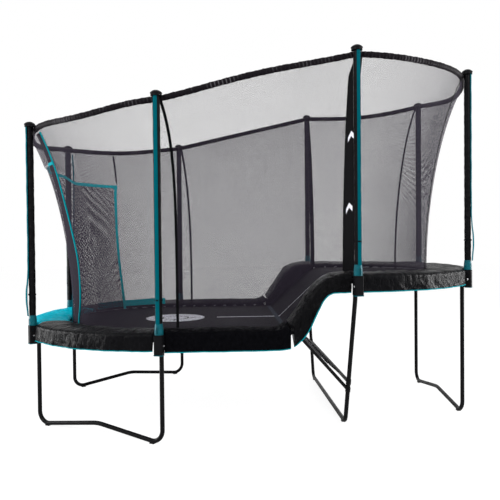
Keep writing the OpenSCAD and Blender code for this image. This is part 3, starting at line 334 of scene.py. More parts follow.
def curve_through(control, per_span):
    """Closed Catmull-Rom curve through control points on the second axis: a cubic blend of four neighbours."""
    t = np.arange(per_span) / per_span
    w = 0.5 * np.stack([-t + 2 * t**2 - t**3, 2 - 5 * t**2 + 3 * t**3, t + 4 * t**2 - 3 * t**3, -(t**2) + t**3], 0)
    near = np.stack([np.roll(control, k, axis=1) for k in (1, 0, -1, -2)], 0)
    out = np.einsum("ks,knmc->nmsc", w, near)
    return out.reshape(control.shape[0], -1, control.shape[2])


# ---- materials ----
class Shade:
    """One material on a Principled shader. A socket is (node, output name); put() makes and joins a node."""

    def __init__(self, name, colour, roughness, metallic=0.0, specular=0.5):
        self.material = bpy.data.materials.new("finish_" + name)
        self.material.use_nodes = True
        self.tree = self.material.node_tree
        self.shader = self.tree.nodes["Principled BSDF"]
        self.shader.inputs["Base Color"].default_value = (*colour, 1)
        self.shader.inputs["Roughness"].default_value = roughness
        self.shader.inputs["Metallic"].default_value = metallic
        self.shader.inputs["Specular IOR Level"].default_value = specular
        self.coords = self.tree.nodes.new("ShaderNodeTexCoord")

    def put(self, kind, inputs=None, **settings):
        """A new node with its inputs joined to sockets or set to constants."""
        node = self.tree.nodes.new(f"ShaderNode{kind}")
        for key, value in settings.items():
            setattr(node, key, value)
        for key, value in (inputs or {}).items():
            if isinstance(value, tuple) and isinstance(value[0], bpy.types.Node):
                self.tree.links.new(value[0].outputs[value[1]], node.inputs[key])
            else:
                node.inputs[key].default_value = value
        return node

    def math(self, operation, *values):
        """A Math node on sockets or constants."""
        return self.put("Math", dict(enumerate(values)), operation=operation), "Value"

    def at(self, source="Object", scale=(1, 1, 1), turn=(0, 0, 0)):
        """Coordinates, scaled and turned."""
        way = {"Vector": (self.coords, source), "Scale": scale, "Rotation": turn}
        return self.put("Mapping", way), "Vector"

    def noise(self, scale, detail=3.0, vector=None, rough=0.55):
        """Fractal noise, 0 to 1."""
        way = {"Vector": vector or self.at(), "Scale": scale, "Detail": detail, "Roughness": rough}
        return self.put("TexNoise", way), "Fac"

    def ramp(self, value, low, high, to_low=0.0, to_high=1.0):
        """Straight line from low, high to to_low, to_high, held at both."""
        way = {"Value": value, "From Min": low, "From Max": high, "To Min": to_low, "To Max": to_high}
        return self.put("MapRange", way), "Result"

    def mix(self, share, a, b):
        """Colour a to colour b by a share. Each is a colour or a socket."""
        a, b = ((*v, 1) if isinstance(v, tuple) and not isinstance(v[0], bpy.types.Node) else v for v in (a, b))
        return self.put("Mix", {0: share, 6: a, 7: b}, data_type="RGBA"), "Result"

    def stripes(self, axis, length, source="UV", turn=0.0):
        """Sine wave across a socket's axis, 0 to 1, one wave each length."""
        x = self.put("SeparateXYZ", {"Vector": self.at(source, turn=(0, 0, turn))}), axis
        wave = self.math("SINE", self.math("MULTIPLY", x, 2 * math.pi / length))
        return self.math("MULTIPLY_ADD", wave, 0.5, 0.5)

    def weave(self, pitch, source="UV"):
        """Crossing yarns: the absolute difference of two sets of stripes."""
        a, b = self.stripes("X", pitch, source), self.stripes("Y", pitch, source)
        return self.math("ABSOLUTE", self.math("SUBTRACT", a, b))

    def inside(self, value, low, high):
        """1 where the value lies between low and high, else 0."""
        return self.math("MULTIPLY", self.math("GREATER_THAN", value, low), self.math("LESS_THAN", value, high))

    def set(self, name, value):
        """Joins a socket to one of the shader's inputs."""
        self.tree.links.new(value[0].outputs[value[1]], self.shader.inputs[name])

    def bump(self, height, distance, strength=1.0, below=None):
        """Normal from a height, on top of the normal below."""
        way = {"Height": height, "Distance": distance, "Strength": strength}
        if below:
            way["Normal"] = below
        return self.put("Bump", way), "Normal"


def tint(colour, share):
    """The colour made lighter or darker by a share."""
    return tuple(min(c * share, 1.0) for c in colour)


def powder_coat(c):
    """Black powder coat: fine orange peel, with a little dust in broad patches."""
    m = Shade("powder_coat", c.steel, 0.3, specular=0.07)
    dust = m.ramp(m.noise(5.0, 5.0), 0.45, 0.8)
    m.set("Base Color", m.mix(dust, tuple(c.steel), tint(c.steel, 1.8)))
    m.set("Roughness", m.ramp(m.noise(14.0, 4.0), 0.3, 0.75, 0.27, 0.46))
    m.set("Normal", m.bump(m.noise(900.0, 2.0), 0.0002, 0.35))
    return m.material


def zinc(c):
    """Zinc plated wire: bright, with dull patches."""
    m = Shade("zinc_plate", c.zinc, 0.35, metallic=1.0)
    patch = m.noise(60.0, 4.0)
    m.set("Base Color", m.mix(m.ramp(patch, 0.4, 0.7), tuple(c.zinc), tint(c.zinc, 0.72)))
    m.set("Roughness", m.ramp(patch, 0.3, 0.7, 0.26, 0.5))
    return m.material


def moulded(name, colour, grain=0.00025, roughness=0.42, specular=0.12):
    """Moulded plastic: fine spark-eroded grain and a slight change of gloss."""
    m = Shade(name, colour, roughness, specular=specular)
    m.set("Base Color", m.mix(m.ramp(m.noise(30.0, 3.0), 0.4, 0.7), tint(colour, 0.85), tint(colour, 1.12)))
    m.set("Roughness", m.ramp(m.noise(25.0, 4.0), 0.3, 0.7, roughness - 0.08, roughness + 0.1))
    m.set("Normal", m.bump(m.noise(1400.0, 1.0), grain, 0.5))
    return m.material


def woven(name, colour, pitch=0.0016, roughness=0.75, specular=0.04):
    """Plain weave: two sets of rounded yarns that cross, one up where the other is down."""
    m = Shade(name, colour, roughness, specular=specular)
    yarn = m.weave(pitch)
    m.set("Base Color", m.mix(m.math("MULTIPLY", yarn, m.ramp(m.noise(9.0, 4.0), 0.3, 0.7, 0.6, 1.0)),
                              tint(colour, 0.72), tint(colour, 1.2)))
    m.set("Normal", m.bump(yarn, 0.0004, 0.6))
    return m.material


def coated_cloth(name, colour, gloss, depth=0.8):
    """PVC coated cloth: faint cloth grain under a glossy coat, soft creases and scuffed dull patches."""
    m = Shade(name, colour, 0.38, specular=gloss)
    crease = m.noise(7.0, 6.0, m.at("UV", (1.0, 0.45, 1)), 0.6)
    ridge = m.math("POWER", m.math("ABSOLUTE", m.math("SUBTRACT", crease, 0.5)), 0.6)
    fine = m.noise(38.0, 5.0, m.at("UV", (1.0, 0.6, 1)))
    grain = m.math("MULTIPLY", m.stripes("X", 0.0022), m.stripes("Y", 0.0022))
    m.set("Base Color", m.mix(m.ramp(fine, 0.35, 0.7), tint(colour, 0.8), tint(colour, 1.35)))
    m.set("Roughness", m.ramp(m.noise(12.0, 5.0, m.at("UV")), 0.3, 0.7, 0.26, 0.44))
    low = m.bump(ridge, 0.03, depth)
    mid = m.bump(fine, 0.004, 0.5, below=low)
    m.set("Normal", m.bump(grain, 0.0003, 0.35, below=mid))
    return m.material


def knitted_net(name, colour, hole, cover, fringe=0.0, wander=0.008):
    """See-through knit: two sets of slanting threads, hole apart, that cover a share of the light.

    Fringe is the strength of the curved bands in which the knit lies a little closer or more open.
    """
    m = Shade(name, colour, 0.8, specular=0.03)
    drift = m.ramp(m.noise(2.2, 3.0, m.at("UV", (0.5, 3.0, 1))), 0.3, 0.7, -wander, wander)
    if fringe:
        bands = m.math("SINE", m.math("MULTIPLY", m.noise(1.7, 0.0, m.at("UV", (1, 0.8, 1))), 190.0))
        drift = m.math("MULTIPLY_ADD", bands, fringe, drift)
    thread = 1 - math.sqrt(1 - cover)
    share = []
    for turn in (math.radians(38), math.radians(-38)):
        wave = m.stripes("X", hole, turn=turn)
        edge = math.cos(math.pi * thread)
        cut = m.math("ADD", (edge + 1) / 2, drift)
        share.append(m.math("GREATER_THAN", wave, cut))
    solid = m.math("MAXIMUM", *share)
    m.set("Alpha", solid)
    m.set("Base Color", m.mix(m.noise(40.0, 2.0, m.at("UV")), tint(colour, 0.8), tint(colour, 1.25)))
    m.set("Normal", m.bump(share[0], 0.0004, 0.5))
    m.material.surface_render_method = "DITHERED"
    return m.material


def gathered_cloth(c):
    """Hem of the net: dark cloth drawn into upright gathers, whose fold crests carry a painted highlight, paler in
    places.
    """
    m = Shade("hem_cloth", c.hem, 0.6, specular=0.05)
    fold = m.stripes("X", 0.031)
    # painted highlight: the crests of the gathers are mixed towards pale grey in noise patches
    wear_and_highlight = m.math("MULTIPLY", m.ramp(fold, 0.72, 0.98), m.ramp(m.noise(3.0, 4.0, m.at("UV")), 0.48, 0.62))
    m.set("Base Color", m.mix(wear_and_highlight, tuple(c.hem), (0.11, 0.105, 0.115)))
    low = m.bump(fold, 0.006, 0.6)
    m.set("Normal", m.bump(m.noise(260.0, 3.0), 0.0006, 0.6, below=low))
    return m.material


DISC_AT, DISC_R, LINE_ENDS = 0.78, 0.300, (-0.35, 1.25)


def jump_mat(c):
    """Woven mat with a printed disc, its ring and spokes left bare, and a middle line, in Object coordinates."""
    m = Shade("jump_mat", c.mat, 0.62, specular=0.03)
    yarn = m.weave(0.0026, "Object")
    cloth = m.mix(m.math("MULTIPLY", yarn, m.ramp(m.noise(3.0, 5.0), 0.3, 0.7, 0.5, 1.0)),
                  tint(c.mat, 0.8), tint(c.mat, 1.25))
    x, y = ((m.put("SeparateXYZ", {"Vector": (m.coords, "Object")}), k) for k in "XY")
    dx = m.math("ADD", x, DISC_AT)
    far = m.math("SQRT", m.math("ADD", m.math("MULTIPLY", dx, dx), m.math("MULTIPLY", y, y)))
    disc = m.math("LESS_THAN", far, DISC_R)
    bar_a = m.math("LESS_THAN", m.math("ABSOLUTE", y), 0.012)
    bar_b = m.math("LESS_THAN", m.math("ABSOLUTE", dx), 0.012)
    spoke = m.math("MULTIPLY", m.math("MAXIMUM", bar_a, bar_b), m.inside(far, 0.150, 0.215))
    bare = m.math("MAXIMUM", m.inside(far, 0.124, 0.140), spoke)
    ring = m.math("MULTIPLY", disc, m.math("SUBTRACT", 1.0, bare))
    wide = m.ramp(x, CREASE_X, CREASE_X + 0.01, 0.019, 0.009)
    line = m.math("MULTIPLY", m.math("LESS_THAN", m.math("ABSOLUTE", y), wide), m.inside(x, *LINE_ENDS))
    # the print is worn away in patches
    wear_and_highlight = m.ramp(m.noise(60.0, 4.0), 0.2, 0.5, 0.75, 1.0)
    print_share = m.math("MULTIPLY", m.math("MAXIMUM", ring, line), wear_and_highlight)
    m.set("Base Color", m.mix(print_share, cloth, tuple(c.print)))
    m.set("Normal", m.bump(yarn, 0.0005, 0.6))
    return m.material


def banner_cloth(c):
    """Black satin band with pale chevrons down its length."""
    m = Shade("banner_cloth", c.webbing, 0.5, specular=0.08)
    parts = m.put("SeparateXYZ", {"Vector": m.at("UV")})
    u, v = (parts, "X"), (parts, "Y")
    middle = m.math("ABSOLUTE", m.math("SUBTRACT", u, 0.058))
    step = m.math("FRACT", m.math("MULTIPLY", m.math("ADD", v, middle), 1 / 0.62))
    mark = m.math("MULTIPLY", m.math("LESS_THAN", step, 0.07), m.math("LESS_THAN", middle, 0.030))
    weave = m.weave(0.0016)
    ground = m.mix(weave, tint(c.webbing, 0.7), tint(c.webbing, 1.3))
    m.set("Base Color", m.mix(mark, ground, tuple(c.print)))
    m.set("Normal", m.bump(weave, 0.0003, 0.5))
    return m.material


# ---- what a user would change ----
def colour(name, text, value):
    """A colour that a user can change."""
    return FloatVectorProperty(name=name, description=text, default=value, subtype="COLOR", min=0, max=1)


def length(name, text, value):
    """A length that a user can change."""
    return FloatProperty(name=name, description=text, default=value, min=0, unit="LENGTH", subtype="DISTANCE")


class TrampolineSizes(bpy.types.PropertyGroup):
    """Sizes of the soft pieces."""

    sleeve_r: length("Sleeve Radius", "Outside radius of the foam sleeve on a pole", 0.030)
    strip_half: length("Strip Half Width", "Half the width of the coloured strip on a sleeve", 0.0150)
    piping_r: length("Piping Radius", "Radius of the piping along a skirt's lower edge", 0.005)
    crease: length("Pad Crease", "Height of the creases of the pad covers", 0.006)
    strap_w: length("Strap Width", "Width of the webbing straps on the net", 0.024)
    banner_w: length("Banner Width", "Width of the broad band on the net", 0.116)
    coil_r: length("Spring Radius", "Outside radius of a spring", 0.011)
    wire_r: length("Spring Wire Radius", "Radius of the springs' wire", 0.0017)
    net_hole: length("Net Hole", "Distance between the net's threads", 0.0055)


class TrampolineColours(bpy.types.PropertyGroup):
    """Colours of the finishes."""

    steel: colour("Steel", "Powder coat of the tubes", (0.0035, 0.0035, 0.004))
    zinc: colour("Zinc", "Springs and rings", (0.55, 0.55, 0.57))
    black: colour("Black Plastic", "Caps and clamps", (0.005, 0.005, 0.006))
    teal: colour("Teal", "Strips, collars and trims", (0.0, 0.070, 0.090))
    bright: colour("Bright Teal", "Piping and door trims", (0.0, 0.27, 0.32))
    pad: colour("Pad Black", "Covers of the pads", (0.0028, 0.0028, 0.0036))
    entrance: colour("Entrance Pad", "Cover of the pad at the entrance", (0.0, 0.40, 0.52))
    mat: colour("Mat", "Woven jumping mat", (0.0105, 0.0092, 0.0125))
    print: colour("Print", "Pale printed marks", (0.86, 0.86, 0.95))
    tape: colour("Tape", "Tape across the crease", (0.055, 0.065, 0.085))
    net: colour("Net", "Threads of the net", (0.036, 0.030, 0.044))
    hem: colour("Hem", "Cloth of the net's upper hem", (0.0065, 0.0050, 0.0068))
    webbing: colour("Webbing", "Straps, ties and hem", (0.004, 0.004, 0.005))
    rubber: colour("Rubber", "Foot pads", (0.015, 0.015, 0.015))


class TrampolineSettings(bpy.types.PropertyGroup):
    """All the trampoline's settings."""

    sizes: PointerProperty(type=TrampolineSizes)
    colours: PointerProperty(type=TrampolineColours)


FINISHES = {
    "powder_coat": powder_coat,
    "zinc_plate": zinc,
    "black_plastic": lambda c: moulded("black_plastic", c.black, specular=0.05),
    "teal_plastic": lambda c: moulded("teal_plastic", tint(c.teal, 1.3), specular=0.15),
    "foam_cover": lambda c: coated_cloth("foam_cover", tint(c.pad, 0.9), 0.06, 0.4),
    "teal_cloth": lambda c: woven("teal_cloth", tint(c.teal, 1.4), specular=0.015),
    "bright_cloth": lambda c: woven("bright_cloth", c.bright),
    "jump_mat": jump_mat,
    "tape_cloth": lambda c: woven("tape_cloth", c.tape, 0.003),
    "pad_cover": lambda c: coated_cloth("pad_cover", c.pad, 0.045),
    "side_cover": lambda c: coated_cloth("side_cover", c.pad, 0.002),
    # painted shade: the ramp pads' cover is the pad cloth darkened to 0.7
    "ramp_cover": lambda c: coated_cloth("ramp_cover", tint(c.pad, 0.7), 0.05, 1.6),
    "entrance_cover": lambda c: coated_cloth("entrance_cover", c.entrance, 0.002, 0.3),
    "webbing": lambda c: woven("webbing", c.webbing, 0.003, 0.6),
    "hem_cloth": gathered_cloth,
    "trim_cloth": lambda c: woven("trim_cloth", tint(c.bright, 1.5)),
    "dark_wire": lambda c: moulded("dark_wire", (0.012, 0.012, 0.013), roughness=0.35, specular=0.3),
    "banner_cloth": banner_cloth,
    "rod_resin": lambda c: moulded("rod_resin", (0.2, 0.2, 0.2), roughness=0.3),
    "rubber": lambda c: moulded("rubber", c.rubber, 0.0005, 0.8, 0.15),
}


# share of the light that each net stops, strength of its bands, and tint of its thread
NETS = {"net_knit": (0.37, 0.0, 1), "net_knit_back": (0.50, 0.012, 1), "net_knit_side": (0.38, 0.022, 1),
        "net_curtain": (0.46, 0.07, 1), "net_wrap": (0.90, 0.0, 0.5)}


def finish_of(key):
    """The named material, made once."""
    settings = bpy.context.scene.trampoline
    made = bpy.data.materials.get("finish_" + key)
    if made:
        return made
    if key in NETS:
        cover, fringe, shade = NETS[key]
        return knitted_net(key, tint(settings.colours.net, shade), settings.sizes.net_hole, cover, fringe)
    return FINISHES[key](settings.colours)


# ---- what each piece says of itself ----
def join_body(obj, body, slot, *replaced):
    """Puts a piece on a body, in place of the nodes that it replaces. The slot is not used."""
    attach(obj, body)
    if replaced:
        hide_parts(*replaced)
    return obj


def join_across(obj, node):
    """A piece that spans the frame and a body that moves: its placing is baked into its mesh, and the node that it
    replaces is hidden.
    """
    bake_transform(obj)
    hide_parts(node)


class Piece:
    """Shared by the operators: they run once and always undo as one step."""

    bl_options = {"REGISTER", "UNDO"}


# ---- stage ----
LENS, SENSOR = 43.51, 36.0
EYE = (-0.329, -6.302, 1.680)
YAW, PITCH, ROLL = (math.radians(a) for a in (3.00, -1.02, -0.54))
SKY_LIGHT = 0.45  # strength of the surroundings where they aren't seen
PAPER_GLOW, PAPER_SHARE = 1.165, 0.78  # the floor's own light, seen by the camera only, and its share
AIM = Vector((0, 0, 1.2))
LIGHTS = (  # name, place, size, power
    ("key_light", (-4.5, -6.0, 6.5), 4.0, 430),
    ("fill_light", (5.5, -4.5, 4.5), 4.0, 210),
    ("back_light", (0.5, 6.5, 6.0), 5.0, 260),
    ("left_light", (-7.5, 0.6, 1.6), 2.2, 420),
    ("right_light", (7.5, 0.4, 1.9), 2.2, 420),
)


class TRAMPOLINE_OT_stage(Piece, bpy.types.Operator):
    """Floor, pale surroundings, soft lights and the camera."""

    bl_idname = "trampoline.stage"
    bl_label = "Stage"

    def execute(self, context):
        scene = context.scene
        scene.view_settings.view_transform = "Standard"
        camera = bpy.data.objects.new("camera", bpy.data.cameras.new("camera"))
        camera.data.lens, camera.data.sensor_width = LENS, SENSOR
        ahead = Vector((math.sin(YAW) * math.cos(PITCH), math.cos(YAW) * math.cos(PITCH), math.sin(PITCH)))
        right = Vector((math.cos(YAW), -math.sin(YAW), 0))
        up = right.cross(ahead)
        x = right * math.cos(ROLL) + up * math.sin(ROLL)
        y = up * math.cos(ROLL) - right * math.sin(ROLL)
        camera.matrix_world = Matrix.Translation(EYE) @ Matrix((x, y, -ahead)).transposed().to_4x4()
        scene.collection.objects.link(camera)
        scene.camera = camera

        world = bpy.data.worlds.new("pale_surroundings")
        world.use_nodes = True
        tree = world.node_tree
        sky = tree.nodes["Background"]
        sky.inputs["Color"].default_value = (1, 1, 1, 1)
        rays = tree.nodes.new("ShaderNodeLightPath")
        seen = None
        for kind in ("Is Camera Ray", "Is Glossy Ray", "Is Transmission Ray"):
            if seen is None:
                seen = rays.outputs[kind]
                continue
            either = tree.nodes.new("ShaderNodeMath")
            either.operation = "MAXIMUM"
            tree.links.new(seen, either.inputs[0])
            tree.links.new(rays.outputs[kind], either.inputs[1])
            seen = either.outputs[0]
        level = tree.nodes.new("ShaderNodeMapRange")
        level.inputs["To Min"].default_value = SKY_LIGHT
        tree.links.new(seen, level.inputs["Value"])
        tree.links.new(level.outputs["Result"], sky.inputs["Strength"])
        scene.world = world

        floor = Skin()
        x, y = np.meshgrid(np.linspace(-30, 30, 3), np.linspace(-30, 30, 3), indexing="ij")
        floor.grid(np.stack([x, y, 0 * x - 0.0005], -1))
        paper = Shade("floor_paper", (0.86, 0.86, 0.86), 0.9, specular=0.0)
        glow = paper.put("Emission", {"Color": (1, 1, 1, 1), "Strength": PAPER_GLOW})
        path = paper.put("LightPath")
        share = paper.math("MULTIPLY", (path, "Is Camera Ray"), PAPER_SHARE)
        joined = paper.put("MixShader", {0: share})
        out = paper.tree.nodes["Material Output"]
        paper.tree.links.new(paper.shader.outputs[0], joined.inputs[1])
        paper.tree.links.new(glow.outputs[0], joined.inputs[2])
        paper.tree.links.new(joined.outputs[0], out.inputs["Surface"])
        floor.build("floor", paper.material)

        for name, place, size, power in LIGHTS:
            lamp = bpy.data.lights.new(name, "AREA")
            lamp.size, lamp.energy = size, power
            obj = bpy.data.objects.new(name, lamp)
            obj.location = place
            obj.rotation_euler = (AIM - Vector(place)).to_track_quat("-Z", "Y").to_euler()
            scene.collection.objects.link(obj)
        return {"FINISHED"}


NODE_FINISH = {
    "rail": "powder_coat", "tee": "powder_coat", "leg": "powder_coat", "foot_bar": "powder_coat",
    "cross": "powder_coat", "braces": "powder_coat", "poles": "powder_coat", "foot_pads": "rubber",
    "pole_clamps": "black_plastic", "pole_caps": "black_plastic", "clamp_trims": "teal_plastic",
    "pole_collars": "teal_plastic", "frame_bolts": "zinc_plate", "mat_rings": "zinc_plate", "ring_rods": "rod_resin",
}


class TRAMPOLINE_OT_hard_parts(Piece, bpy.types.Operator):
    """Finishes of the tubes, bolts, plastic parts, rings and rods."""

    bl_idname = "trampoline.hard_parts"
    bl_label = "Hard Parts"

    def execute(self, context):
        for start, finish in NODE_FINISH.items():
            found = [n for n in NODES if n.startswith(start)]
            if not found:
                raise RuntimeError(f"no part starts with {start}")
            for n in found:
                mesh = NODES[n].data
                mesh.materials.clear()
                mesh.materials.append(finish_of(finish))
        return {"FINISHED"}


# ---- jumping mats ----
SLOPE_SPLIT = 0.61  # where the sloping mat's two lengths meet


def mat_grid(x, half):
    """Rows along x and columns across, from -half to half at each row."""
    across = np.sin(np.linspace(-math.pi / 2, math.pi / 2, 61))
    y = half[:, None] * across[None]
    return np.broadcast_to(x[:, None], y.shape), y


def half_width(x):
    """Half the oval's width at x: the circle of radius MAT_R beyond each end's centre, else MAT_R."""
    out = np.maximum(np.abs(x) - HALF, 0)
    return np.sqrt(np.maximum(MAT_R**2 - out**2, 0))


def mat_skin(x, z):
    """The mat between the first and last x, at heights z: level across, with its edge drawn up at each spring."""
    px, py = mat_grid(x, half_width(x))
    edge = np.abs(py) / np.maximum(half_width(x)[:, None], 1e-9)
    pull = 0.0015 * np.cos(2 * math.pi * px / 0.124) * edge**14
    top = np.stack([px, py, np.broadcast_to(z[:, None], px.shape) + pull - 0.0015 * edge**14], -1)
    skin = Skin()
    skin.cloth(top, DOWN, MAT_T, lengths_uv(top))
    return skin


class TRAMPOLINE_OT_mats(Piece, bpy.types.Operator):
    """The two level mats, the sloping mat in two lengths, and the tape over the crease."""

    bl_idname = "trampoline.mats"
    bl_label = "Mats"

    def execute(self, context):
        woven_mat = finish_of("jump_mat")
        round_end = MAT_R * (1 - np.cos(np.linspace(0.0, math.pi / 2, 40)))
        low_x = np.r_[-HALF - MAT_R + round_end, np.linspace(-HALF, CREASE_X - MAT_T, 40)[1:]]
        low = mat_skin(low_x, mat_top(low_x)).build("low_jumping_mat", woven_mat)
        join_body(low, LOW, "jump_mat", "mat_low")

        theta = np.linspace(math.acos((SLOPE_X2 - HALF) / MAT_R), 0, 50)
        high_x = HALF + MAT_R * np.cos(theta)
        high_x[0] += 0.0003
        high = mat_skin(high_x, mat_top(high_x)).build("high_jumping_mat", woven_mat)
        join_body(high, HIGH, "jump_mat", "mat_high")

        for name, x0, x1, body, start, end in (
            ("slope_mat_lower", CREASE_X - 0.0035, SLOPE_SPLIT - 0.0003, LOW, SLOPE_SPLIT - 0.01, CREASE_X),
            ("slope_mat_upper", SLOPE_SPLIT + 0.0003, SLOPE_X2, HIGH, SLOPE_SPLIT + 0.01, SLOPE_X2),
        ):
            x = np.linspace(x0, x1, 40)
            piece = mat_skin(x, mat_top(x)).build(name, woven_mat)
            join_across(piece, "mat_slope_panel")

        tape = Skin()
        x, y = np.meshgrid(np.linspace(0.250, 0.2955, 5), np.linspace(-0.965, 0.965, 90), indexing="ij")
        sewn = 0.0003 * np.sin(y * 2 * math.pi / 0.02)
        top = np.stack([x, y, LOW_DECK + MAT_LIFT + 0.0016 + sewn * (np.abs(x - 0.273) / 0.023) ** 4], -1)
        tape.cloth(top, DOWN, 0.0014, lengths_uv(top))
        obj = tape.build("crease_tape_band", finish_of("tape_cloth"))
        join_body(obj, LOW, "grey_tape", "crease_tape")
        return {"FINISHED"}


# ---- springs ----
DECK_TURNS, SLOPE_TURNS, PANEL_TURNS = 26, 30, 24
HOOK, PANEL_HOOK = 0.030, 0.026


def coil_path(total, turns, radius, hook, steps):
    """Along +Z: a straight hook, a helix that opens fast to its radius and closes again, and a hook."""
    z = np.r_[0, np.linspace(hook, total - hook, turns * steps + 1), total]
    share = np.clip((z - hook) / (total - 2 * hook), 0, 1)
    angle = 2 * math.pi * turns * share
    open_up = np.clip(np.minimum(share, 1 - share) * turns / 0.6, 0, 1)
    r = radius * np.sqrt(1 - (1 - open_up) ** 2)
    return np.stack([r * np.cos(angle), r * np.sin(angle), z], -1)


def coil_rings(path, wire, sides):
    """Rings of radius wire round a coil's path, each turned to face away from the coil's axis."""
    way = np.gradient(path, axis=0)
    way /= np.linalg.norm(way, axis=1, keepdims=True)
    out = path * [1, 1, 0]
    size = np.linalg.norm(out, axis=1, keepdims=True)
    out = np.where(size > 1e-5, out / np.maximum(size, 1e-9), [[1.0, 0, 0]])
    b = np.cross(way, out)
    b /= np.linalg.norm(b, axis=1, keepdims=True)
    n = np.cross(b, way)
    a = np.linspace(0, 2 * math.pi, sides, endpoint=False)[None, :, None]
    return path[:, None] + wire * (np.cos(a) * n[:, None] + np.sin(a) * b[:, None])


def add_coil(skin, a, b, sizes, turns, hook):
    """One coil spring from a to b, with a straight hook at each end."""
    a, b = np.asarray(a, float), np.asarray(b, float)
    total = float(np.linalg.norm(b - a))
    path = coil_path(total, turns, sizes.coil_r - sizes.wire_r, hook, 8)
    rings = coil_rings(path, sizes.wire_r, 5)
    z = (b - a) / total
    x = np.cross(z, [0, 0, 1.0])
    x /= np.linalg.norm(x)
    y = np.cross(z, x)
    skin.tube(rings @ np.stack([x, y, z]) + a)


class TRAMPOLINE_OT_springs(Piece, bpy.types.Operator):
    """Coil springs round the mats and down the slope; the tension panel's springs come with the panel."""

    bl_idname = "trampoline.springs"
    bl_label = "Springs"

    def execute(self, context):
        sizes = context.scene.trampoline.sizes
        tip, hook_r = MAT_R + 0.0313, RAIL_R - TUBE_R
        moving_r, still_r = tip + 0.012, hook_r - 0.016
        level = LOW_DECK + MAT_LIFT - MAT_T / 2
        for index in (0, 6, 7, 2, 3, 4):
            bay = BAYS[index]
            low = bay[0] < 0
            body, node = (LOW, "springs_low") if low else (HIGH, "springs_high")
            lift = 0 if low else STEP
            all_t = (np.arange(10) + 0.5) / 10
            if not low:
                spots = bay_spot(bay, all_t, MAT_R, 0)
                all_t = all_t[spots[:, 0] > SLOPE_X2]
            for part, ts in enumerate(np.array_split(all_t, 3)):
                skin = Skin()
                for t in ts:
                    add_coil(skin, bay_spot(bay, t, tip - 0.004, level + lift),
                             bay_spot(bay, t, hook_r, LOW_DECK + lift), sizes, DECK_TURNS, HOOK)
                obj = skin.build(f"{node}_bay{index}_{part + 1}", finish_of("zinc_plate"))
                still, moving = (bay_spot(bay, np.array(ts.mean()), r, LOW_DECK + lift) for r in (still_r, moving_r))
                join_across(obj, node)
        side_x = -HALF + (np.arange(9) + 0.5) * (CREASE_X + HALF) / 9
        slope_x = CREASE_X + 0.1 + np.arange(5) * (SLOPE_X2 - CREASE_X - 0.158) / 4
        rail_x = CREASE_X + 0.016 + (slope_x - slope_x[0]) * 0.875
        for s, word in ((-1, "front"), (1, "back")):
            skin = Skin()
            for x in side_x:
                add_coil(skin, (x, s * (tip - 0.004), level), (x, s * hook_r, LOW_DECK + rail_rise(np.array(x))),
                         sizes, DECK_TURNS, HOOK)
            obj = skin.build(f"springs_low_{word}", finish_of("zinc_plate"))
            still = (0, s * still_r, LOW_DECK)
            join_across(obj, "springs_low")
            # the sloping mat moves less the nearer it is to its middle; its springs are built in a lower, an upper
            # and a middle group
            for part, body, pick, ease in (
                ("lower", LOW, slice(0, 2), 0.13),
                ("upper", HIGH, slice(3, 5), 0.10),
                ("middle", ROOT, slice(2, 3), 0),
            ):
                skin = Skin()
                for x, xr in zip(slope_x[pick], rail_x[pick]):
                    foot = (x, s * (MAT_R + 0.002), float(mat_top(x)) - MAT_T)
                    hook = (xr, s * hook_r, LOW_DECK + float(rail_rise(np.array(xr))))
                    add_coil(skin, foot, hook, sizes, SLOPE_TURNS, HOOK)
                obj = skin.build(f"springs_slope_{word}_{part}", finish_of("zinc_plate"))
                if body == ROOT:
                    join_body(obj, ROOT, "zinc_steel", "springs_slope")
                else:
                    moving = (0, s * (MAT_R - ease), LOW_DECK)
                    join_across(obj, "springs_slope")
        return {"FINISHED"}


# ---- tension panel ----
PANEL_TOP = np.array([CREASE_X + 0.004, LOW_DECK + MAT_LIFT - 0.005])
BAR_AT = np.array([0.80107, 0.420])
PANEL_HALF, PANEL_SPRING, PANEL_COUNT = 0.880, 0.175, 12  # half width, length and number of its springs
PANEL_ROLL = 0.010  # radius of the rolled hem at its lower edge


